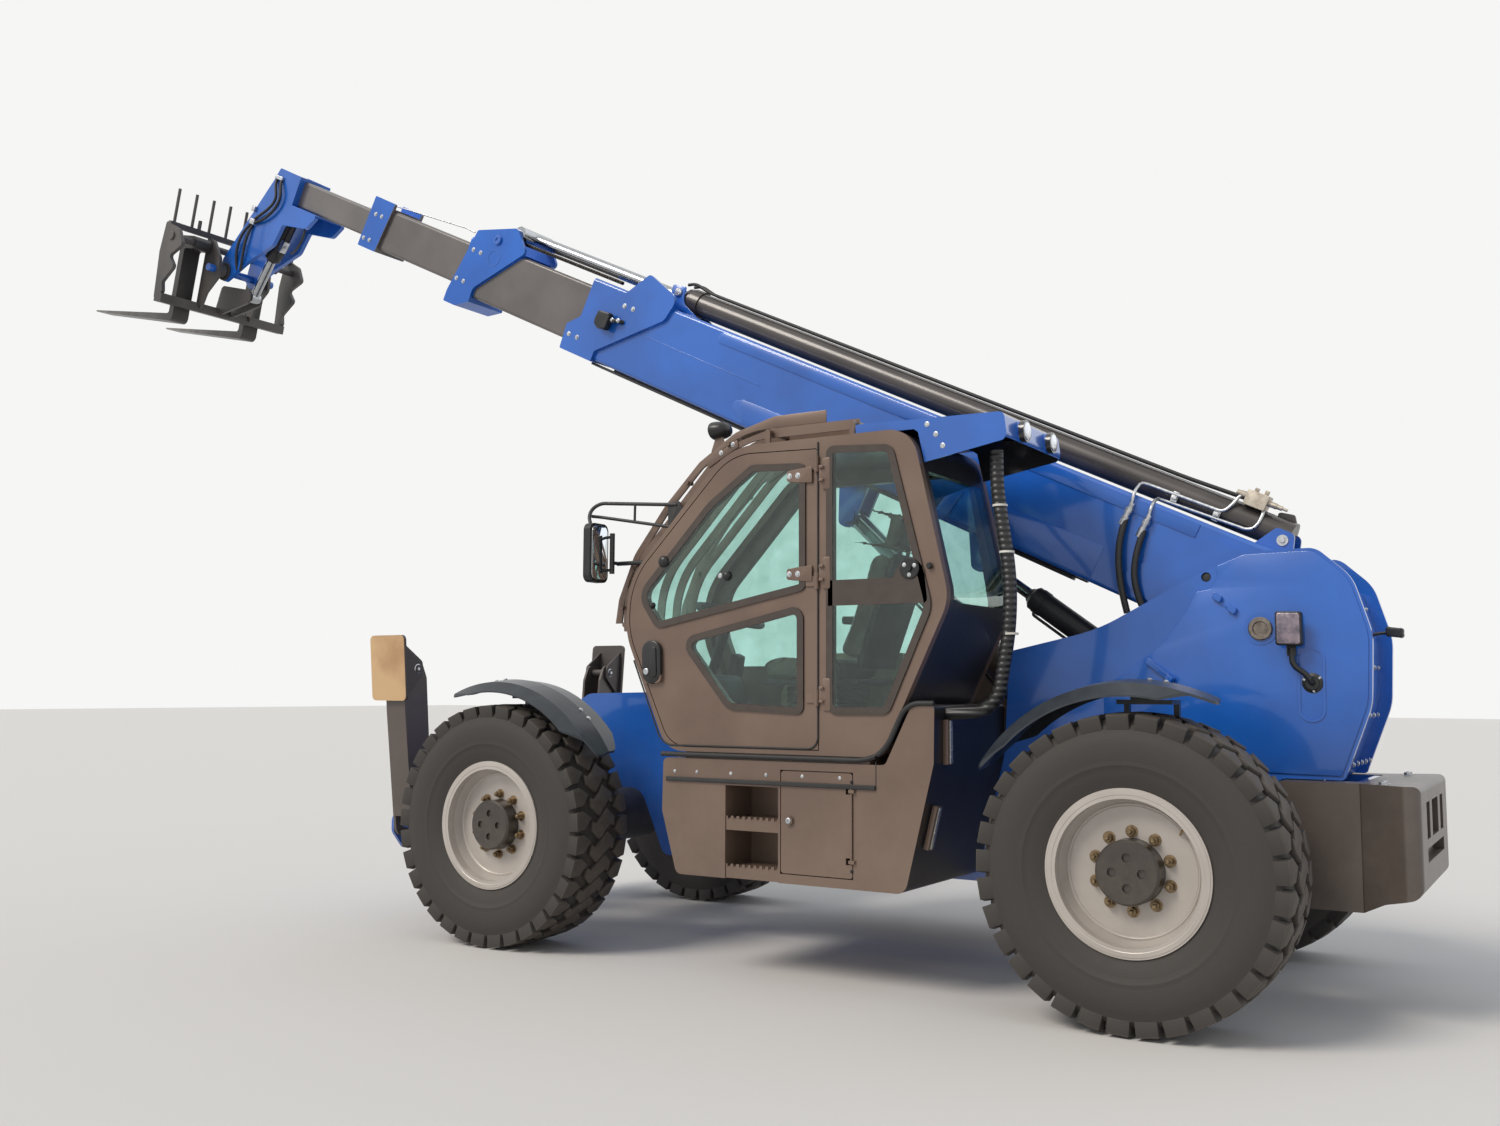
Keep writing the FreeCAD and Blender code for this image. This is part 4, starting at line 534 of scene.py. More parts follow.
def tread_block(corners, foot):
    """A tread block: its outline is (across, round) in mm, its height wraps round the tyre."""
    flat = slab([(r / 1000, a / 1000, 0) for a, r in corners], (0, 0, -foot))
    middle = sum((v.co for v in flat.data.vertices), Vector()) / len(flat.data.vertices)
    for vertex in flat.data.vertices:
        if vertex.co.z < -0.001:
            vertex.co.x = middle.x + (vertex.co.x - middle.x) * 1.12
            if abs(vertex.co.y) > 0.2:
                vertex.co.y *= foot_half_width / half_width
    flat.select_set(True)
    bpy.context.view_layer.objects.active = flat
    bpy.ops.object.mode_set(mode="EDIT")
    bpy.ops.mesh.select_all(action="SELECT")
    bpy.ops.mesh.bevel(offset=0.0035, segments=2, affect="EDGES")
    deselect()
    for vertex in flat.data.vertices:
        round_, across, height = vertex.co
        reach = tyre_radius - tyre_crown * (across / 0.2) ** 2 + height
        turn = round_ / tyre_radius
        vertex.co = (reach * math.sin(turn), across, reach * math.cos(turn))
    return flat


def tyre():
    """The carcass with its three rows of blocks, about the wheel's centre."""
    far_side = [(-along, radius) for along, radius in reversed(tyre_section)]
    carcass = spun(list(tyre_section) + far_side, 132)
    blocks = [tread_block(centre_block, 0.03), tread_block(shoulder_block, 0.075),
              tread_block([(-a, -r) for a, r in shoulder_block], 0.075)]
    turns = [Matrix.Rotation(i * math.tau / tread_pitches, 4, "Y") for i in range(tread_pitches)]
    return merged([carcass] + [repeated(block, turns) for block in blocks])


def from_axle(tree, place, centre):
    """A surface point's offset from its wheel's axis, and how far that is."""
    offset = add(tree, "VectorMath", {"operation": "SUBTRACT", 0: place, 1: centre})
    flat = add(tree, "VectorMath", {"operation": "MULTIPLY", 0: offset, 1: (1, 0, 1)})
    return flat, add(tree, "VectorMath", {"operation": "LENGTH", 0: flat}).outputs["Value"]


def wheel_rubber(name, centre):
    """Tyre rubber: matt black, browner where dust has settled and the tread has rolled."""
    material, tree, place = new_material(name)
    flat, reach = from_axle(tree, place, centre)
    rolled = add(tree, "MapRange", {"Value": reach, "From Min": 0.655, "From Max": 0.674,
                                    "To Min": 0.12, "To Max": 0.5})
    dust = add(tree, "TexNoise", {"Scale": 1000 / 45, "Detail": 7, "Roughness": 0.7,
                                  "Vector": place})
    amount = add(tree, "Math", {"operation": "MULTIPLY", 0: rolled, 1: dust})
    colour = add(tree, "Mix", {"data_type": "RGBA", "Factor": amount, "A": linear("302E2D"),
                               "B": linear("8A7C6C")})
    rub = add(tree, "MapRange", {"Value": dust, "To Min": 0.55, "To Max": 0.85})
    # the mould's pores, real under 1 mm and drawn 3 mm to show, and its ribs 14 mm apart
    pores = add(tree, "TexNoise", {"Scale": 1000 / 3, "Detail": 2, "Vector": place})
    ribs = add(tree, "TexWave", {"wave_type": "RINGS", "rings_direction": "SPHERICAL",
                                 "Scale": 22, "Distortion": 0, "Vector": flat})
    grain = add(tree, "Bump", {"Strength": 0.2, "Distance": 0.001, "Height": pores})
    relief = add(tree, "Bump", {"Strength": 0.12, "Distance": 0.001,
                                "Height": ribs.outputs["Fac"], "Normal": grain})
    return surface(material, {"Base Color": colour.outputs["Result"], "Roughness": rub,
                              "Normal": relief})


# Rims: one-piece rolled and welded steel rims in silver enamel, with a lock ring. The hub
# drum is a dark casting. Ten yellow zinc nuts on studs hold each disc.
drum_radius, nut_circle, disc_face = 0.1395, 167.5, 95


def silver_rim(name, centre):
    """Wheel enamel, with the dark paint of the hub drum inside drum_radius."""
    def drum(tree, place):
        return add(tree, "Math", {"operation": "LESS_THAN", 0: from_axle(tree, place, centre)[1],
                                  1: drum_radius})
    return sprayed_steel(name, "C4BDB6", "B6AFA8", 0.38, 0.25, 0.2, 0.45,
                         (drum, "2E2B2A", "262423"))


# yellow passivated zinc that grime has dulled: brown gold
nut_zinc = surfaced("dulled yellow passivated zinc", "9A8668", "6A5A48", 0.4, 3, 0.1, 0.9, 16)
brass = surfaced("turned brass", "B99755", "8F7340", 0.3, 2, 0.05, 1.0, 15)
for label, round_ in (("fl", 0), ("rl", 0), ("fr", 180), ("rr", 180)):
    low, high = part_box("tyre_" + label)
    centre = (Vector(low) + Vector(high)) / 2
    wheel = Matrix.Translation(centre) @ turned(round_, "Z")
    small = wheel @ Matrix.Scale(0.001, 4)
    body = "wheel_" + label
    enamel = silver_rim("silver wheel enamel " + label, centre)
    finish(enamel, "rim_" + label)
    dressed = fit(tyre(), "tyre_dressed_" + label,
                  wheel_rubber("moulded tyre rubber " + label, centre), body, wheel, 35)
    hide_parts("tyre_" + label)
    fit(spun(((176, 322), (188, 322), (192, 328), (192, 346), (188, 350), (183, 350), (180, 340)),
             96), "lock_ring_" + label, enamel, body, small)
    fit(spun(((93, 272), (97, 274), (101, 280), (101, 284), (95, 290), (93, 290)), 96),
        "rim_bead_" + label, enamel, body, small)
    spots = [(nut_circle * math.cos(math.radians(36 * i + 18)), disc_face,
              nut_circle * math.sin(math.radians(36 * i + 18))) for i in range(10)]
    bolts("wheel_nuts_" + label, spots, body, radius=19, head=27, place=small, material=nut_zinc)
    fit(repeated(disc(10, 26, 46, 3, 3, 12), [at(*spot) for spot in spots]),
        "wheel_studs_" + label, nut_zinc, body, small)
    tube("valve_stem_" + label, [(-205, 100, 165), (-214, 122, 174), (-226, 150, 186)], 5, 8,
         brass, body, small)

# Fenders: thick black polyethylene, vacuum formed over a mould, on steel stays. Pairs of
# bright screws hold each one.
polyethylene = surfaced("vacuum formed black polyethylene", "343A40", "2B3036", 0.3, 4, 0.08)
finish(polyethylene, "fender_fl", "fender_fr", "fender_rl", "fender_rr")
fender_radius, fender_lean = 816, 16.5
for label, end in (("fl", 1), ("fr", 1), ("rl", -1), ("rr", -1)):
    low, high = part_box("tyre_" + label)
    for i, turn in enumerate((-26, -21, 21, 26)):
        a = math.radians(turn - fender_lean * end)
        way = Vector((math.sin(a), 0, math.cos(a)))
        bolts("fender_screw_%s_%d" % (label, i),
              [(Vector(low) + Vector(high)) * 500 + way * fender_radius], "knuckle_" + label, way,
              9, 5, Matrix.Scale(0.001, 4))

# The boom is four box sections folded and welded from plate. The outer and the last are
# blue; the two between are charcoal with blue collars. Collars are doubler plates welded
# round each front end, and bright screws through them hold the wear pads inside.
boom_angle = math.radians(25.7)
boom_pivot = (-2190, 0, 1731)
boom = vehicle @ at(*boom_pivot) @ Matrix.Rotation(-boom_angle, 4, "Y")
# the middle of the pivot that carries the forks' carriage
head_pivot = (8535, 0, -705)


def along_boom(tree, place):
    """Where a surface point lies along the boom, and across its depth, in metres."""
    offset = add(tree, "VectorMath", {"operation": "SUBTRACT", 0: place,
                                      1: vehicle @ Vector(boom_pivot)})
    return [add(tree, "VectorMath", {"operation": "DOT_PRODUCT", 0: offset, 1: axis})
            .outputs["Value"] for axis in ((math.cos(boom_angle), 0, math.sin(boom_angle)),
                                           (-math.sin(boom_angle), 0, math.cos(boom_angle)))]


def where(tree, *tests):
    """1 where every test holds: each is a value, a comparison and a limit."""
    whole = 1.0
    for value, comparison, limit in tests:
        held = add(tree, "Math", {"operation": comparison, 0: value, 1: limit})
        whole = add(tree, "Math", {"operation": "MULTIPLY", 0: held, 1: whole})
    return whole


def second_collar(tree, place):
    """Blue ahead of the second collar's slanting rear edge."""
    along, deep = along_boom(tree, place)
    above = add(tree, "Math", {"operation": "ADD", 0: deep, 1: 0.023})
    above = add(tree, "Math", {"operation": "MAXIMUM", 0: above, 1: 0.0})
    slant = add(tree, "Math", {"operation": "MULTIPLY_ADD", 0: above, 1: 1.014, 2: along})
    return where(tree, (slant, "GREATER_THAN", 5.787))


def third_collar(tree, place):
    """Blue ahead of the third collar's rear edge."""
    along, deep = along_boom(tree, place)
    slant = add(tree, "Math", {"operation": "MULTIPLY_ADD", 0: deep, 1: 0.13, 2: along})
    return where(tree, (slant, "GREATER_THAN", 6.910))


def last_tube(tree, place):
    """Charcoal on the last section's bare tube, between its head's welded plates."""
    along, deep = along_boom(tree, place)
    across = add(tree, "SeparateXYZ", {"Vector": place}).outputs["Y"]
    return where(tree, (across, "LESS_THAN", 0.0955), (across, "GREATER_THAN", -0.0955),
                 (along, "LESS_THAN", 7.999), (deep, "GREATER_THAN", 0.0059),
                 (deep, "LESS_THAN", 0.2141))


charcoals = ("6A6462", "5C5755")
finish(blue_paint, "boom_outer")
finish(sprayed_steel("charcoal paint with blue collar", *charcoals, 0.36, 0.3, 0.15, 0.2,
                     (second_collar, *blues)), "boom_second")
finish(sprayed_steel("charcoal paint with blue end collar", *charcoals, 0.36, 0.3, 0.15, 0.2,
                     (third_collar, *blues)), "boom_third")
finish(sprayed_steel("blue head paint with charcoal tube", *blues, 0.3, 0.6, 0.0, 0.2,
                     (last_tube, *charcoals)), "boom_fourth")
for side, label in sides:
    for name, body, face, spots in (
        ("outer_collar_bolts", "boom_outer", 202,
         ((4783, -44), (4706, -44), (4421, 261), (4346, 262))),
        ("second_collar_bolts", "boom_second", 172,
         ((5913, 224), (5836, 223), (5978, -4), (5903, -5))),
        ("third_collar_bolts", "boom_third", 144,
         ((7035, 190), (6965, 190), (7080, -5), (7010, -5))),
    ):
        bolts(name + label, [(u, side * face, n) for u, n in spots], body, (0, side, 0), 11, 7,
              boom)
    # raised plates welded on the outer section's sides, with a rounded front end each
    fit(sided(merged([
        plate(((500, 272), (3667, 272, 30), (3640, 342, 34), (500, 342)), 178, 186, 2),
        plate(((900, -118), (3258, -118, 20), (3407, -30, 30), (3310, 12, 40), (900, 60)), 178,
              183),
        plate(((3235, 124), (4280, 133), (4280, 138), (3235, 129)), 178, 182, 1),
    ]), side), "outer_doublers" + label, blue_paint, "boom_outer", boom)
    # the second collar's pulley boss with its screw, and a round pressing beside it
    fit(sided(merged([
        moved(spun(((170, 0.5), (170, 34), (184, 34), (187, 30), (187, 14), (181, 12),
                    (181, 0.5)), 24), at(5716, 0, 349)),
        moved(spun(((170, 50), (174, 52), (174, 60), (170, 62))), at(5700, 0, 225)),
    ]), side), "second_boss" + label, blue_paint, "boom_second", boom)

# A small black square lamp stands on the outer collar, on a forked arm with two bolts.
fit(merged([
    plate(((4462, 70, 16), (4462, 186, 16), (4568, 176, 16), (4568, 84, 16)), 214, 262, 9),
    moved(spun(((200, 0.5), (200, 58), (206, 58), (206, 0.5))), at(4560, 0, 122)),
]), "collar_lamp", lamp_black, "boom_outer", boom)
tube("collar_lamp_arm", [(4480, 232, 134), (4430, 240, 150), (4398, 226, 158), (4385, 200, 160)],
     14, 16, lamp_black, "boom_outer", boom)
bolts("collar_lamp_bolts", [(4440, 246, 150), (4402, 236, 160)], "boom_outer", (0, 1, 0), 10, 8,
      boom)

# Leaf chain: plates punched from spring steel and riveted on pins, oiled. It runs from the
# second section's pulley back under the extension rod.
chain_steel = surfaced("oiled spring steel chain plate", "4A4744", "2E2C2A", 0.4, 4, 0.2, 0.9, 30)
link = merged([plate(((-17, -12, 11), (-17, 12, 11), (17, 12, 11), (17, -12, 11)), y, y + 4, 0.8)
               for y in (-14, -5, 4, 12)]
              + [spun(((-17, 0.5), (-17, 5), (18, 5), (18, 0.5)), 8)])
chain_start, chain_end, chain_pitch = 4600, 5590, 25
fit(repeated(link, [at(u, 106, 392) for u in range(chain_start, chain_end - chain_pitch + 1,
                                                   chain_pitch)]),
    "leaf_chain", chain_steel, "boom_second", boom)

# The extension cylinder lies on the boom: a honed tube painted dark, held by a blue strap at
# the front and pinned to lugs at the back. Its rod is hard chrome on ground steel. Steel
# feed tubes, bent cold and zinc plated, run along it to a plated valve block.
barrel_paint = sprayed_steel("satin dark brown-grey paint", "4A4442", "3E3937", 0.3, 0.35, 0.15)
rod_chrome = surfaced("hard chrome on ground steel", "B4B7BA", "A4A7AA", 0.14, 1, 0.01, 1.0, 30)
finish(barrel_paint, "extension_barrel")
finish(rod_chrome, "lift_rod", "slave_rod", "tilt_rod", "leg_rod_left", "leg_rod_right",
       "extension_rod")
barrel_n = 448
fit(merged([
    twinned(plate(((3900, 352), (4215, 352), (4195, 400, 40), (4205, 505, 12), (4100, 520, 12),
                   (4085, 420, 70), (3985, 385, 40)), 77, 87, 3)),
    plate(box(3890, 350, 4230, 362), -110, 110, 3),
]), "barrel_strap", blue_paint, "boom_outer", boom)
fit(twinned(moved(disc(27, 88, 101), at(4140, 0, 470))), "strap_pins", bright_zinc, "boom_outer",
    boom)
band = spun(((3985, 75), (3985, 84), (4060, 84), (4064, 80), (4064, 75)), 48)
fit(moved(band, turned(-90, "Z")), "barrel_band", barrel_paint, "boom_outer",
    boom @ at(0, 0, barrel_n), 40)
tube_y = 87
for label, route in (
    ("a", [(851, 204, 294), (866, 204, 372), (884, 110, 425), (860, tube_y, 432),
           (450, tube_y, 441), (424, 78, 500), (415, 60, 556), (380, 60, 560)]),
    ("b", [(746, 204, 270), (756, 204, 340), (778, 110, 382), (752, tube_y, 386),
           (300, tube_y, 404), (274, 82, 440), (278, 62, 520), (300, 60, 545)]),
):
    tube("feed_tube_" + label, route, 9, 26, bright_zinc, "boom_outer", boom)
hose_black, hose_tree, hose_place = new_material("braided black hydraulic hose")
# the wire braid shows through the rubber as a fine diagonal weave, real 1 mm, drawn 4 mm
weave = add(hose_tree, "TexVoronoi", {"Scale": 1000 / 4, "Vector": hose_place})
surface(hose_black, {
    "Base Color": linear("252527"),
    "Roughness": add(hose_tree, "MapRange", {"Value": weave, "To Min": 0.42, "To Max": 0.6}),
    "Normal": add(hose_tree, "Bump", {"Strength": 0.25, "Distance": 0.0008, "Height": weave})})
for label, route in (
    ("a", [(851, 204, 230), (838, 216, 140), (800, 226, 30), (728, 228, -90), (640, 222, -200)]),
    ("b", [(741, 204, 210), (732, 216, 120), (706, 224, 20), (664, 226, -60), (590, 222, -135)]),
):
    tube("boom_hose_" + label, route, 17, None, hose_black, "boom_outer", boom)
fit(merged([
    moved(spun(((-90, 0.5), (-90, 19), (-40, 20), (-38, 16), (-20, 16), (-20, 21), (4, 21),
                (4, 15), (26, 15), (30, 11), (30, 0.5)), 16),
          at(u, 204, n - 10) @ Matrix.Rotation(tilt, 4, "Y") @ turned(90, "X"))
    for u, n, tilt in ((851, 294, -0.06), (746, 270, -0.05))
]), "hose_ferrules", bright_zinc, "boom_outer", boom)
clips = []
for u in (703, 477):
    clips += [plate(box(u - 17, 384, u + 17, 450, 4), 74, 84, 2),
              plate(box(u - 15, 410, u + 15, 428, 4), 84, 100, 2)]
fit(merged(clips), "tube_clips", bright_zinc, "boom_outer", boom)
block_parts = [
    plate(box(275, 515, 385, 592, 4), 8, 92, 3),
    plate(((296, 590), (316, 590), (316, 616, 3), (296, 616, 3)), 30, 50, 2),
    plate(((346, 590), (366, 590), (366, 612, 3), (346, 612, 3)), 30, 50, 2),
]
for u, reach, thick in ((385, 52, 17), (275, -70, 15), (275, -96, 9)):
    block_parts.append(moved(
        spun(((0, 0.5), (0, thick), (reach * 0.6, thick), (reach * 0.65, thick * 0.8),
              (reach, thick * 0.8), (reach, 0.5)), 12), at(u, 60, 560) @ turned(-90, "Z")))
fit(merged(block_parts), "valve_block",
    surfaced("zinc nickel plated valve body", "C6BDAF", "A79D8E", 0.35, 3, 0.1, 0.8, 40),
    "boom_outer", boom)
for side, label in sides:
    y = side * 34
    tube("top_hose" + label, [(250, y, 560), (420, y, 545), (700, y, 536), (3950, y, 536),
                              (4075, y, 560), (4130, y, 536)], 10, 30, hose_black, "boom_outer",
         boom)
fit(twinned(moved(spun(((91, 0.5), (91, 27), (97, 27), (97, 14), (106, 12), (106, 0.5)), 20),
                  at(135, 0, 419))), "barrel_pins", bright_zinc, "boom_outer", boom)
fit(plate(((120, 512), (215, 512), (235, 540, 14), (150, 556, 14)), -10, 10, 3), "barrel_hook",
    barrel_paint, "boom_outer", boom)
# feed lines of the sections within: a bundle of thin tubes under the outer section's belly
for i, (y, n) in enumerate(((118, -158), (96, -162), (140, -158), (-122, -158), (-100, -160))):
    tube("belly_tube_%d" % i, [(1000, y, n), (3300, y, n), (4560, y, n - 4)], 8, 10,
         bright_zinc if i % 2 else hose_black, "boom_outer", boom)

# Lift, levelling and tilt cylinders: drawn steel barrels under satin paint, with a screwed
# gland ring at the rod's end and a steel feed pipe along each. Rods are chromed.
finish(sprayed_steel("satin brown-grey cylinder paint", "57483F", "483B34", 0.42, 0.15, 0.1),
       "lift_barrel")
finish(black_paint, "slave_barrel", "tilt_barrel", "leg_barrel_left", "leg_barrel_right")
tilt_place = boom @ at(8120, 0, 20) @ turned(79.27, "Y")
for name, place, end, barrel, rod in (
    # name, frame of the barrel (X along it), barrel's end, barrel's and rod's radii
    ("lift", vehicle @ at(-1471.3, 0, 881.9) @ turned(-44.457, "Y"), 1670, 83, 50),
    ("slave", vehicle @ at(-1846.9, 0, 1289.2) @ turned(-36.134, "Y"), 1115, 66, 31),
    ("tilt", tilt_place, 500, 62, 35),
):
    gland = spun(((end - 2, rod + 1), (end - 2, barrel - 26), (end + 10, barrel - 26),
                  (end + 13, barrel - 29), (end + 13, rod + 1)), 40)
    collar = spun(((end - 90, barrel - 1), (end - 88, barrel + 4), (end - 46, barrel + 4),
                   (end - 44, barrel - 1)), 48)
    fit(moved(merged([gland, collar]), turned(-90, "Z")), name + "_gland", black_paint,
        name + "_barrel", place, 40)
    below = -(barrel + 10)
    tube(name + "_feed_pipe", [(end - 66, 22, 12 - barrel), (end - 66, 26, below),
                               (end - 130, 26, below), (190, 26, below), (150, 24, 20 - barrel)],
         8, 16, black_paint, name + "_barrel", place)
fit(merged([plate(box(300, -96, 395, -52), -14, 42, 4),
            plate(box(330, -112, 352, -94), 2, 26, 3)]),
    "tilt_valve", bright_zinc, "tilt_barrel", tilt_place)

# The boom head carries hoses to the forks: they come out of the section through bulkhead
# fittings, drop down the left plate to a junction, and go on to the carriage.
for label, route in (
    ("a", [(8262, 150, 168), (8262, 168, 100), (8160, 170, 30), (8205, 170, -85),
           (8310, 168, -170), (8372, 160, -222)]),
    ("b", [(8205, 150, 160), (8190, 172, 120), (8110, 172, 48), (8150, 172, -99),
           (8255, 168, -202), (8360, 160, -246)]),
    ("c", [(8400, 156, -262), (8440, 166, -330), (8474, 168, -438), (8440, 164, -563),
           (8400, 140, -650)]),
    ("d", [(8372, 156, -268), (8390, 168, -340), (8366, 170, -499), (8340, 164, -585),
           (8360, 140, -640)]),
):
    tube("head_hose_" + label, route, 11, None, hose_black, "boom_fourth", boom)
tube("head_loop", [(7990, 70, -30), (7860, 120, -40), (7745, 120, -130), (7790, 120, -290),
                   (7900, 80, -350)], 8, None, hose_black, "boom_fourth", boom)
fit(merged([plate(box(8350, -262, 8410, -216, 6), 143, 172, 4),
            plate(box(8190, 148, 8284, 178, 6), 143, 166, 4),
            plate(box(8400, -160, 8440, -120, 4), 143, 168, 4)]),
    "head_fittings", bright_zinc, "boom_fourth", boom)
for side, label in sides:
    boss = spun(((143, 46), (143, 72), (158, 72), (162, 68), (162, 46)), 40)
    fit(sided(moved(boss, at(*head_pivot)), side), "head_boss" + label, black_paint,
        "boom_fourth", boom, 40)
tube("section_cable", [(6140, 0, 340), (6240, 0, 346), (7040, 0, 300)], 6, 20, bright_zinc,
     "boom_third", boom)

# Carriage and forks: flame-cut plate welded and painted black, forks forged from one bar.
# Blades are rubbed to bright steel along their tops where loads slide.
carriage_paint = sprayed_steel("worn satin black paint", "565250", "444140", 0.45, 0.1, 0.1, 0.1)
finish(carriage_paint, "carriage")
carriage_place = boom @ at(*head_pivot) @ turned(13.2, "Y")
fork_rise = math.radians(12.5)


def blade_tops(tree, place):
    """The forks' blades near their tops, where sliding loads rub the paint off in streaks."""
    offset = add(tree, "VectorMath", {"operation": "SUBTRACT", 0: place,
                                      1: carriage_place.to_translation()})
    ahead = add(tree, "VectorMath", {"operation": "DOT_PRODUCT", 0: offset,
                                     1: (math.cos(fork_rise), 0, math.sin(fork_rise))})
    streaks = add(tree, "TexNoise", {"Scale": 1000 / 70, "Detail": 6, "Vector": place})
    reach = add(tree, "MapRange", {"Value": ahead.outputs["Value"], "From Min": 0.3,
                                   "From Max": 1.3, "To Min": 0.0, "To Max": 1.1})
    return add(tree, "Math", {"operation": "MULTIPLY", 0: reach, 1: streaks})


finish(sprayed_steel("forged fork steel under worn paint", "454342", "363534", 0.42, 0.1, 0.3, 0.1,
                     (blade_tops, "A9A6A1", "8C8985")), "forks")
# the pins that hang the forks, and the end caps of the upper bar
fit(twinned(merged([
    moved(disc(34, 588, 603), at(107, 0, 166)),
    moved(disc(15, 0, 74, 4, 4, 16), at(168, 330, 284) @ turned(90, "X")),
])), "carriage_caps", carriage_paint, "carriage", carriage_place)

# Stabilisers: folded plate legs with welded bosses and thick foot plates whose soles are bare
# steel, rubbed and lightly rusted. They carry their own cylinders.
finish(sprayed_steel("satin dark brown-grey leg paint", "5C524D", "4E4642", 0.38, 0.2, 0.1),
       "leg_left", "leg_right")
leg_y, leg_foot_z, leg_lean = 875, 600, 5


def pad_sole(tree, place):
    """Bare metal on the outer face of a foot plate."""
    spot = add(tree, "SeparateXYZ", {"Vector": place}).outputs
    out = add(tree, "Math", {"operation": "ABSOLUTE", 0: spot["Y"]})
    lean = math.radians(leg_lean)
    level = leg_y / 1000 - leg_foot_z / 1000 * math.tan(lean) + 0.1265 / math.cos(lean)
    reach = add(tree, "Math", {"operation": "MULTIPLY_ADD", 0: spot["Z"], 1: -math.tan(lean),
                               2: out})
    return where(tree, (reach, "GREATER_THAN", level))


finish(sprayed_steel("foot plate with a bare rusted sole", "4B4441", "403A38", 0.5, 0.05, 0.0, 0.3,
                     (pad_sole, "D2AE82", "A67C54")), "leg_pad_left", "leg_pad_right")
for side, label in sides:
    leg = vehicle @ at(2760, side * leg_y, leg_foot_z) @ turned(-leg_lean * side, "X")
    for height, name in ((0, "foot"), (960, "top")):
        head = spun(((0, 0.5), (0, 30), (8, 30), (11, 26), (11, 11), (16, 10), (16, 0.5)), 20)
        fit(repeated(head, [facing((end * 92, 0, height), (end, 0, 0)) for end in (1, -1)]),
            "leg_pins_" + name + label, bright_zinc, "leg" + label, leg)

# Counterweight: one iron casting with soft moulded corners and pockets for lashing, filled,
# sanded and painted. Four screws hold it, and their heads stand on its top.
finish(sprayed_steel("filled and painted cast iron", "5A514C", "4E4642", 0.4, 0.15, 0.1, 0.35),
       "counterweight")
bolts("weight_bolts", [(-2700, y, 1037) for y in (-470, -390, 390, 470)], "chassis", (0, 0, 1),
      16, 12)

# The cab is welded from pressed sheet and square tube, with rounded pillars, sprayed in satin
# brown-grey. Its rear wall and the box below it are gloss black behind.
cab_colours = ("7A6558", "6D594D")
cab_paint = sprayed_steel("satin brown-grey metallic paint", *cab_colours, 0.4, 0.25, 0.25)
finish(cab_paint, "cab_left", "cab_right", "cab_floor", "cab_front", "cab_door", "locker_door",
       "engine_hood", "engine_pod", "roof_guard")
finish(sprayed_steel("semi-gloss black two-pack paint", "2A2A2D", "222225", 0.38, 0.2), "cab_rear")
cab_face, glass_face, box_face = 1180, 1188, 1178


def visor_under(tree, place):
    """Black inside the visor, and on its lamps' housings."""
    spot = add(tree, "SeparateXYZ", {"Vector": place}).outputs
    inside = where(tree, (spot["Y"], "GREATER_THAN", 0.4115), (spot["Y"], "LESS_THAN", 1.1285),
                   (spot["Z"], "LESS_THAN", 2.722),
                   (spot["X"], "GREATER_THAN", middle_x - 1.2475))
    lamps = where(tree, (spot["X"], "LESS_THAN", middle_x - 1.264))
    return add(tree, "Math", {"operation": "MAXIMUM", 0: inside, 1: lamps})


def box_rear(tree, place):
    """Black on the step box's rear faces, behind its outer side."""
    spot = add(tree, "SeparateXYZ", {"Vector": place}).outputs
    return where(tree, (spot["X"], "LESS_THAN", middle_x - 0.70),
                 (spot["Y"], "LESS_THAN", 1.1772), (spot["Z"], "LESS_THAN", 1.3695))


finish(sprayed_steel("blue paint, black within", *blues, 0.3, 0.9, 0.0, 0.2,
                     (visor_under, "1E1E20", "19191B")), "visor")
finish(sprayed_steel("brown-grey paint, black behind", *cab_colours, 0.4, 0.25, 0.25, 0.35,
                     (box_rear, "202023", "1A1A1D")), "step_box")
seal_rubber = surfaced("extruded EPDM seal rubber", "2B2B2C", "212122", 0.6, 3, 0.15)
tinted_glass, glass_tree, glass_place = new_material("green tinted safety glass")
# dust films the pane in faint clouds a hand across
clouds = patches(glass_tree, {"Scale": 1000 / 130, "Detail": 5, "Vector": glass_place},
                 (0.4, 0.65), ("D3EFE9", "C6E4DC"))[0]
surface(tinted_glass, {"Base Color": clouds, "Roughness": 0.0, "IOR": 1.5,
                       "Transmission Weight": 1.0})
finish(tinted_glass, "cab_glass", "door_glass")

# Panes are bonded on, so a dark ceramic border is fired on their rims to hide the adhesive.
ceramic = surfaced("fired dark ceramic border", "4C423B", "443A34", 0.16, 2, 0.02)
border_width, border_low, border_high = 36, glass_face - 0.5, glass_face + 1.2
for i, pane in enumerate((
    ((683, 1753, 60), (811, 1937, 100), (359, 2401, 300), (96, 2578, 60), (-221, 2561, 40),
     (-222, 1928, 40)),
    ((-211, 1314, 40), (233, 1334, 100), (541, 1698, 60), (-210, 1859, 60)),
)):
    fit(border(pane, border_width, border_low, border_high), "door_pane_border_%d" % i, ceramic,
        "cab_door")
fit(merged([
    border(((-339, 1316, 60), (-340, 2636, 40), (-701, 2612, 60), (-904, 1829, 150),
            (-673, 1321, 60)), border_width, border_low, border_high),
    plate(((-350, 1845), (-350, 1970), (-700, 1970, 10), (-735, 2030, 40), (-800, 2078, 60),
           (-862, 2010, 50), (-880, 1845, 20)), border_low, border_high, 0),
]), "side_pane_border", ceramic)

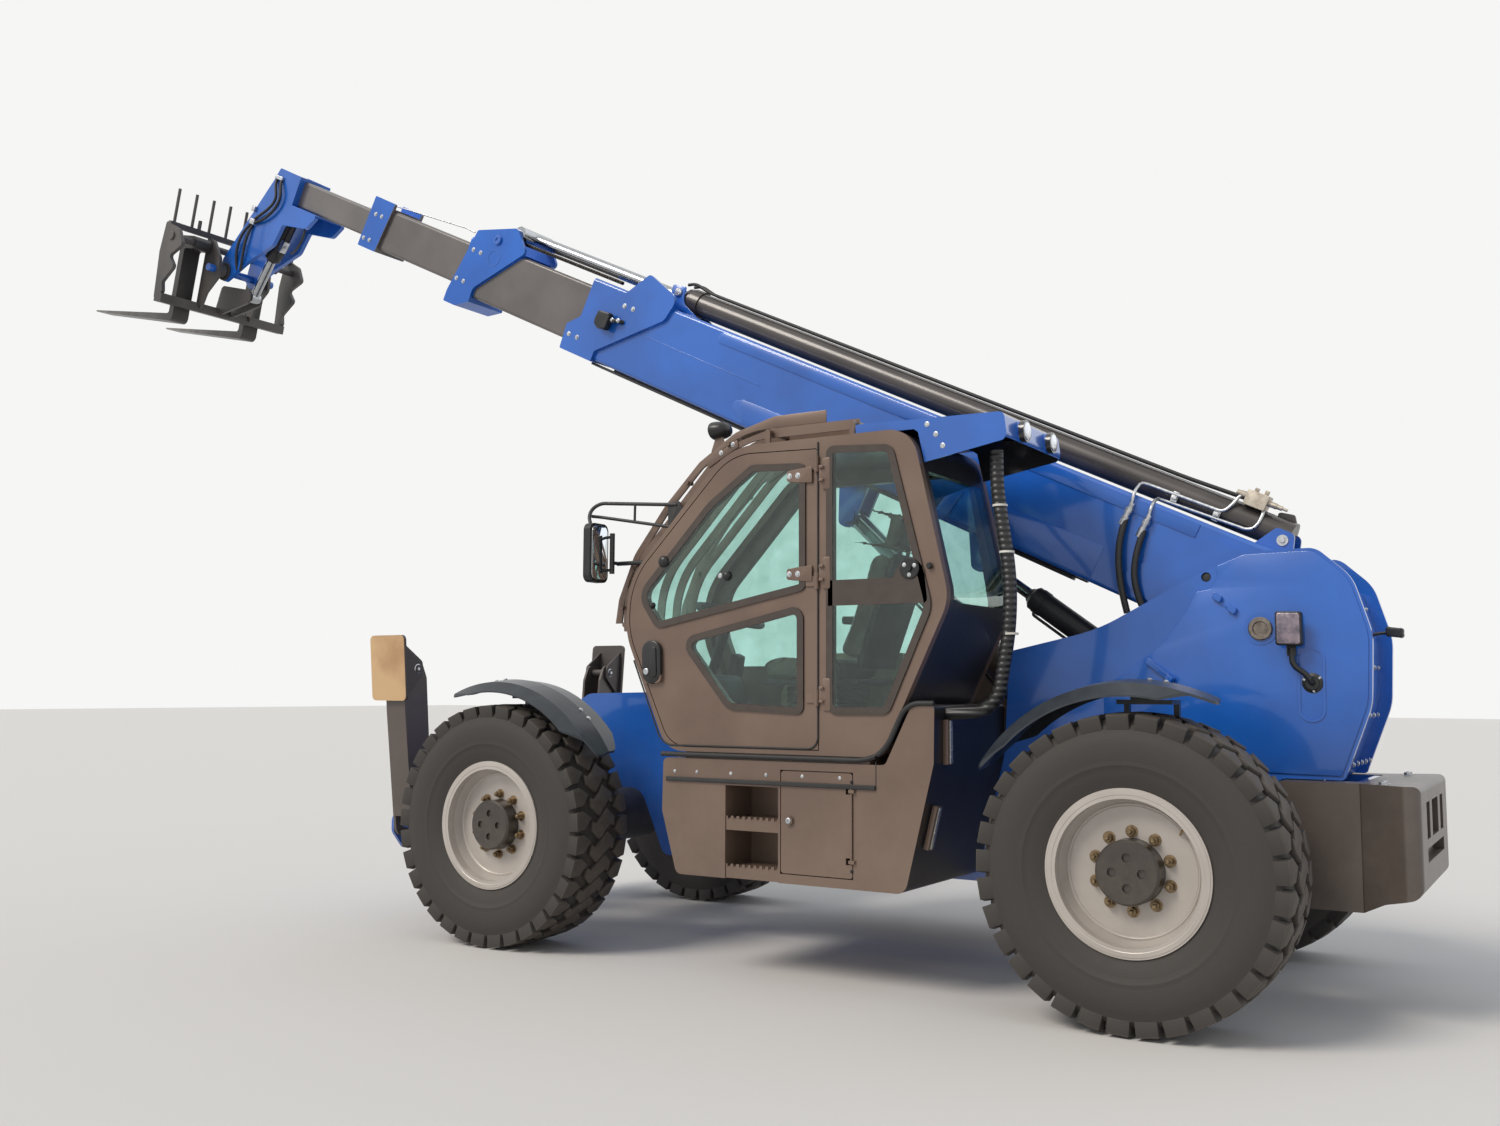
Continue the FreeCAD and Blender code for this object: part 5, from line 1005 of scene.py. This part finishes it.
# The door hangs on three pressed hinges, and two have plates that clamp the glass. It has an
# oval paddle latch of black nylon, and rubber buffers. The side window has a round latch.
hinges = (2499, 2008, 1415)
hinge_parts = []
for z in hinges:
    hinge_parts.append(plate((
        (-362, z - 78, 8), (-318, z - 78, 8), (-318, z - 34, 4), (-300, z - 34, 4),
        (-300, z + 34, 4), (-318, z + 34, 4), (-318, z + 78, 8), (-362, z + 78, 8)),
        cab_face - 1, cab_face + 11, 2))
    for low in (z + 26, z - 40):
        hinge_parts.append(plate(((-330, low), (-306, low), (-306, low + 14, 6),
                                  (-330, low + 14, 6)), cab_face + 2, cab_face + 26, 2))
fit(merged(hinge_parts), "hinge_brackets", cab_paint)
fit(merged([plate(((-262, z - 40, 6), (-262, z + 40, 6), (-180, z + 34, 10), (-118, z + 26, 14),
                   (-118, z - 26, 14), (-180, z - 34, 10)), glass_face - 1, glass_face + 6)
            for z in hinges[:2]]), "hinge_plates", cab_paint, "cab_door")
bolts("hinge_bolts", [(x, glass_face + 5, z) for z in hinges[:2] for x in (-134, -182)],
      "cab_door", radius=10, head=6)
nylon = surfaced("moulded black nylon", "232426", "1A1B1C", 0.32, 2, 0.05)
fit(merged([
    plate(((640, 1466, 58), (760, 1466, 58), (768, 1694, 58), (644, 1694, 58)), cab_face - 1,
          cab_face + 26, 9),
    plate(((662, 1500, 18), (702, 1500, 18), (706, 1660, 18), (668, 1660, 18)), cab_face + 24,
          cab_face + 34, 4),
]), "door_latch", nylon, "cab_door")
fit(disc(17, 24, 35, 2, 3, 20), "door_lock", bright_zinc, "cab_door",
    vehicle @ at(730, cab_face, 1530))
fit(merged([
    moved(spun(((0, 0.5), (0, thick), (8, thick), (20, thick * 0.7), (24, thick * 0.3),
                (24, 0.5)), 24), at(x, glass_face, z))
    for x, z, thick in ((636, 2108, 31), (238, 2016, 25), (704, 1878, 17))
]), "glass_buffers", nylon, "cab_door", smooth=50)
fit(disc(13, 0, 8, 2, 3, 20), "glass_screw", bright_zinc, "cab_door",
    vehicle @ at(278, glass_face, 2018))
latch_x, latch_z = -790, 2009
fit(spun(((0, 0.5), (0, 50), (7, 50), (10, 46), (10, 16), (22, 14), (22, 0.5))), "window_latch",
    nylon, place=vehicle @ at(latch_x, glass_face, latch_z))
bolts("window_latch_bolts", [(latch_x + 30 * math.cos(a), glass_face + 9,
                              latch_z + 30 * math.sin(a)) for a in (0.6, 2.7, 4.7)],
      radius=7, head=4)
fit(spun(((0, 0.5), (0, 12), (12, 16), (22, 12), (22, 0.5)), 20), "pillar_knob", nylon,
    place=vehicle @ at(-892, cab_face, 2018))

# Extruded rubber lies in the joint between the cab and the box below it, and a second strip
# closes the panel under the door, which small screws hold.
seal_y = box_face + 2
tube("cab_seal", [(642, seal_y, 1104), (-560, seal_y, 1104), (-652, seal_y, 1150),
                  (-765, seal_y, 1376), (-903, seal_y, 1378)], 13, 60, seal_rubber)
fit(plate(box(-602, 966, 611, 988, 5), box_face - 1, box_face + 12, 4), "panel_strip",
    seal_rubber)
fit(plate(box(-604, 988, -600, 1100), box_face - 1, box_face + 1.5, 0), "panel_joint",
    seal_rubber)
bolts("panel_screws", [(x, box_face, 1016) for x in (560, 422, 215, 7, -200, -408)],
      radius=6, head=4)

# Step treads are pressed with a toothed edge for grip. A key lock holds the locker, and its
# hinge shows four small rivets. Two silver reflectors stand on the box's rear.
tread_rear, tread_front, tread_teeth = -62, 245, 9
pitch = (tread_front - tread_rear) / tread_teeth
teeth = []
for top in (556, 793):
    comb = [(tread_rear, top - 58), (tread_front, top - 58)]
    for i in range(tread_teeth):
        x = tread_front - i * pitch
        comb += [(x, top + 12), (x - pitch * 0.25, top + 12), (x - pitch * 0.35, top - 6),
                 (x - pitch * 0.75, top - 6), (x - pitch * 0.85, top + 12)]
    comb.append((tread_rear, top + 12))
    teeth.append(plate(comb, box_face - 12, box_face - 5, 0))
fit(merged(teeth), "step_teeth", cab_paint)
fit(spun(((13, 0.5), (13, 15), (18, 15), (20, 12), (20, 5), (15, 5), (15, 0.5)), 20),
    "locker_lock", bright_zinc, "locker_door", vehicle @ at(-130, box_face, 800))
bolts("locker_rivets", [(-473, box_face, z) for z in (580, 700, 860, 1000)], radius=6, head=5,
      material=nylon)
reflector_face = surfaced("silver reflective sheet", "D8D6CE", "BDBAB2", 0.25, 4, 0.1, 0.6, 30)
for label, foot, lean in (("upper", (-905, 1050, 1196), 0),
                          ("lower", (-838, 1080, 800), -math.atan2(150, 605))):
    spot = vehicle @ at(*foot) @ Matrix.Rotation(lean, 4, "Y")
    fit(plate(box(-26, -105, 26, 105, 4), -22, 4, 2, "x"), "reflector_backing_" + label, cab_paint,
        place=spot)
    fit(plate(box(-22, -100, 6, 100, 3), -26, -21, 1, "x"), "reflector_" + label, reflector_face,
        place=spot)

# The visor's two work lamps have pressed glass lenses. Three screws hold its side.
for i, y in enumerate((590, 950)):
    fit(spun(((1289, 0.5), (1289, 43), (1294, 41), (1299, 24), (1300, 0.5))),
        "visor_lens_%d" % i, lamp_glass, place=vehicle @ at(0, y, 2655) @ turned(90, "Z"),
        smooth=50)
bolts("visor_screws", [(-860, 1135, 2700), (-905, 1135, 2648), (-940, 1135, 2590)], head=5)

# An oval work lamp stands on the roof guard's front bar. The mirror hangs on two bent tubes
# with a strut between them.
lamp_shell = spun(((-52, 0.5), (-50, 30), (-38, 50), (-15, 62), (25, 68), (45, 66), (48, 60),
                   (48, 0.5)))
fit(moved(lamp_shell, Matrix.Scale(0.72, 4, (1, 0, 0))), "roof_lamp", nylon,
    place=vehicle @ at(372, 1046, 2806) @ turned(-90, "Z") @ turned(90, "Y"), smooth=50)
fit(plate(((330, 2640, 8), (440, 2610, 8), (420, 2700, 8), (395, 2770, 8), (350, 2770, 8),
           (330, 2700, 8)), 1060, 1068, 2), "roof_lamp_bracket", cab_paint)
bolts("roof_lamp_bolts", [(365, 1068, 2676), (404, 1068, 2668)], head=6)
tube("mirror_upper_bar", [(1090, 1240, 2320), (1130, 1215, 2392), (1098, 1168, 2452),
                          (700, 1120, 2424), (610, 1112, 2418)], 10, 40, black_paint)
tube("mirror_lower_bar", [(1120, 1200, 2378), (1090, 1168, 2376), (671, 1120, 2304),
                          (610, 1112, 2298)], 9, 30, black_paint)
tube("mirror_strut", [(866, 1142, 2435), (866, 1144, 2340)], 7, 5, black_paint)
fit(plate(((590, 2270), (665, 2276, 6), (668, 2430, 6), (596, 2436, 6), (540, 2340)), 1104, 1116,
          3), "mirror_bracket", black_paint)
mirror_glass, mirror_tree, mirror_place = new_material("convex silvered mirror glass")
# a bulge 250 mm across, so that the flat pane reflects like a convex one
bulge = add(mirror_tree, "TexNoise", {"Scale": 1000 / 250, "Detail": 0, "Vector": mirror_place})
surface(mirror_glass, {
    "Base Color": linear("D5DADD"), "Metallic": 1.0, "Roughness": 0.03,
    "Normal": add(mirror_tree, "Bump", {"Strength": 0.5, "Distance": 0.01, "Height": bulge})})
finish(nylon, "mirror")
fit(plate(box(1163, 2024, 1295, 2316, 34), 1034, 1041, 2, "x"), "mirror_pane", mirror_glass)

# Inside the cab: a suspension seat with vinyl cushions over foam, a moulded lining along the
# right wall, a console, and a steering wheel of soft black polyurethane on its column.
lining = surfaced("grained khaki ABS lining", "A59C80", "93896F", 0.55, 4, 0.2)
soft_black = surfaced("moulded black polyurethane", "2C2C2E", "232325", 0.5, 2, 0.2)
vinyl = surfaced("brown-grey seat vinyl", "6E6556", "5A5247", 0.42, 2, 0.35)
# how far a filled cover may swell, and the size of its mesh, in metres
swell_limit, cushion_mesh = 0.014, 0.012


def cushion(name, corners, low, high):
    """A padded form: its outline's slab, puffed like a filled cover. Corners in mm."""
    piece = moved(plate(corners, low, high, 14), vehicle)
    piece.select_set(True)
    bpy.context.view_layer.objects.active = piece
    piece.data.remesh_voxel_size = cushion_mesh
    bpy.ops.object.voxel_remesh()
    rest = [vertex.co.copy() for vertex in piece.data.vertices]
    cloth = piece.modifiers.new("fill", "CLOTH")
    cloth.settings.use_pressure = True
    cloth.settings.uniform_pressure_force = 4
    cloth.settings.effector_weights.gravity = 0
    for step in range(1, 13):
        bpy.context.scene.frame_set(step)
    blown = piece.evaluated_get(bpy.context.evaluated_depsgraph_get()).data
    swelled = [vertex.co.copy() for vertex in blown.vertices]
    piece.modifiers.remove(cloth)
    for vertex, start, end in zip(piece.data.vertices, rest, swelled):
        move = end - start
        vertex.co = start + move * min(1, swell_limit / max(move.length, 1e-6))
    bpy.context.scene.frame_set(1)
    fit(piece, name, vinyl, place=Matrix(), smooth=80)


cushion("seat_cushion", ((-330, 1500, 30), (150, 1500, 50), (172, 1575, 34), (60, 1590, 60),
                         (-290, 1582, 20)), 558, 982)
cushion("seat_back", ((-352, 1600, 20), (-300, 1618, 20), (-500, 2120, 40), (-588, 2096, 34),
                      (-404, 1600, 30)), 558, 982)
cushion("headrest", ((-536, 2150, 20), (-496, 2160, 30), (-538, 2312, 34), (-604, 2296, 30)), 664,
        876)
# pedestal, pan, shell and armrest, the headrest's stems, and the suspension's rubber bellows
# folded in five rings
seat_frame = fit(merged([
    plate(((-310, 1166), (70, 1166), (60, 1300, 10), (-300, 1300, 10)), 615, 925, 4),
    plate(box(-398, 1462, 150, 1492, 12), 570, 970, 4),
    plate(((-410, 1480, 10), (-392, 1600), (-596, 2110, 10), (-616, 2104, 10), (-424, 1590)), 575,
          965, 4),
    plate(((-390, 1770, 14), (-80, 1790, 14), (-80, 1832, 14), (-400, 1822, 14)), 500, 548, 8),
] + [
    plate(((-562, 2080), (-544, 2086), (-560, 2170), (-578, 2164)), y, y + 12, 2)
    for y in (720, 808)
] + [
    plate(box(-296, 622, 56, 918, 40), low, low + 26, 9, "z") for low in range(1302, 1431, 32)
]), "seat_frame", soft_black)
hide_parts("cab_inside")
fit(plate(((-420, 1166), (330, 1166), (330, 1420, 60), (180, 1636, 60), (-420, 1636, 40)), 406,
          498, 8), "side_lining", lining)
levers = [
    moved(spun(((0, 0.5), (0, 9), (90, 8), (100, 22), (150, 24), (166, 16), (168, 0.5)), 16),
          at(x, 452, 1634) @ turned(90, "X"))
    for x in (40, 110)
]
fit(merged(levers + [
    plate(((350, 1166), (510, 1166), (560, 1300), (636, 1476, 50), (505, 1536, 50)), 642, 898, 10),
    plate(((540, 1500, 6), (590, 1540, 6), (560, 1640, 8), (520, 1620, 8)), 560, 640, 4),
]), "console", soft_black)
deselect()
bpy.ops.mesh.primitive_torus_add(major_radius=185, minor_radius=15, major_segments=48,
                                 minor_segments=12)
wheel_parts = [
    bpy.context.object,
    moved(spun(((-16, 0.5), (-16, 44), (6, 48), (14, 34), (16, 0.5)), 24), turned(90, "X")),
    moved(spun(((-480, 0.5), (-480, 28), (-16, 28), (-16, 0.5)), 20), turned(90, "X")),
]
for turn in (0.3, 2.4, 4.5):
    spoke = plate(((30, -14), (175, -10), (175, 10), (30, 14)), -5, 5, 3, "z")
    wheel_parts.append(moved(spoke, Matrix.Rotation(turn, 4, "Z")))
fit(merged(wheel_parts), "steering_wheel", soft_black,
    place=vehicle @ at(490, 770, 1840) @ turned(-20, "Y"), smooth=40)

# The engine side: a hood of pressed sheet with louvres punched in its outer face, and a
# folding handle with a lock. It has the cab's paint.
hood_face = -1190
fit(merged([
    plate(box(column, low, column + 300, low + 22, 5), hood_face - 12, hood_face + 1, 4)
    for column in (-560, -180) for low in range(1010, 1315, 38)
]), "hood_louvres", cab_paint, "engine_hood")
fit(merged([
    plate(box(330, 1040, 450, 1096, 12), hood_face - 8, hood_face + 1, 3),
    plate(box(345, 1056, 435, 1078, 6), hood_face - 22, hood_face - 7, 4),
]), "hood_handle", nylon, "engine_hood")

# The hose behind the cab is a convoluted sleeve of black polyamide, tied with pale straps.
sleeve, sleeve_tree, sleeve_place = new_material("convoluted black polyamide sleeve")
# its rings, real 12 mm apart, are drawn 29 mm to show, and level because the hose hangs
rings = add(sleeve_tree, "TexWave", {"wave_type": "BANDS", "bands_direction": "Z",
                                     "Scale": 1000 / 14 / 6.5, "Vector": sleeve_place})
# the colour follows the rings, darker in their grooves and paler on their crests: painted shade and
# painted highlight
shade = add(sleeve_tree, "Mix", {"data_type": "RGBA", "Factor": rings.outputs["Fac"],
                                 "A": linear("151516"), "B": linear("2C2C2E")})
surface(sleeve, {
    "Base Color": shade.outputs["Result"], "Roughness": 0.4,
    "Normal": add(sleeve_tree, "Bump", {"Strength": 0.9, "Distance": 0.004,
                                        "Height": rings.outputs["Fac"]})})
finish(sleeve, "hoses")
fit(merged([
    moved(spun(((-5, 32), (-5, 35.5), (5, 35.5), (5, 32)), 24), at(x, 1030, z) @ turned(90, "X"))
    for x, z in ((-1181, 2300), (-1212, 2080), (-1226, 1700))
]), "hose_ties", surfaced("pale nylon cable tie", "E4E2DA", "CBC8BE", 0.4, 3, 0.05))

# Outside the roof guard two longer side rails of flat bar stand off the screen on spacers. A
# rubber lip closes the gap round the door.
side_rails = []
for y in (466, 1066):
    side_rails += [
        plate(((1038, 1794), (1018, 1924, 90), (915, 2166, 200), (714, 2421, 200),
               (491, 2641, 90), (262, 2780, 160), (25, 2842, 200), (-277, 2842), (-277, 2780),
               (25, 2780, 180), (240, 2728, 140), (468, 2606, 90), (684, 2392, 200),
               (876, 2145, 200), (978, 1918, 90), (996, 1794)), y, y + 12, 2),
        plate(((440, 2640, 6), (250, 2740, 6), (240, 2700, 6), (430, 2604, 6)), y + 10, y + 18,
              1),
    ] + [
        moved(spun(((-26, 0.5), (-26, 12), (26, 12), (26, 0.5)), 16), at(x, y + 6, z))
        for x, z in ((985, 1879), (895, 2112), (560, 2535), (300, 2720))
    ]
fit(merged(side_rails), "side_rails", cab_paint)
bolts("side_rail_bolts", [(350, 1082, 2678), (277, 1082, 2716)])
seal_y = cab_face + 3
tube("door_seal", [(-291, seal_y, 2660), (-291, seal_y, 1150), (640, seal_y, 1150),
                   (830, seal_y, 1590)], 4.5, 60, seal_rubber)
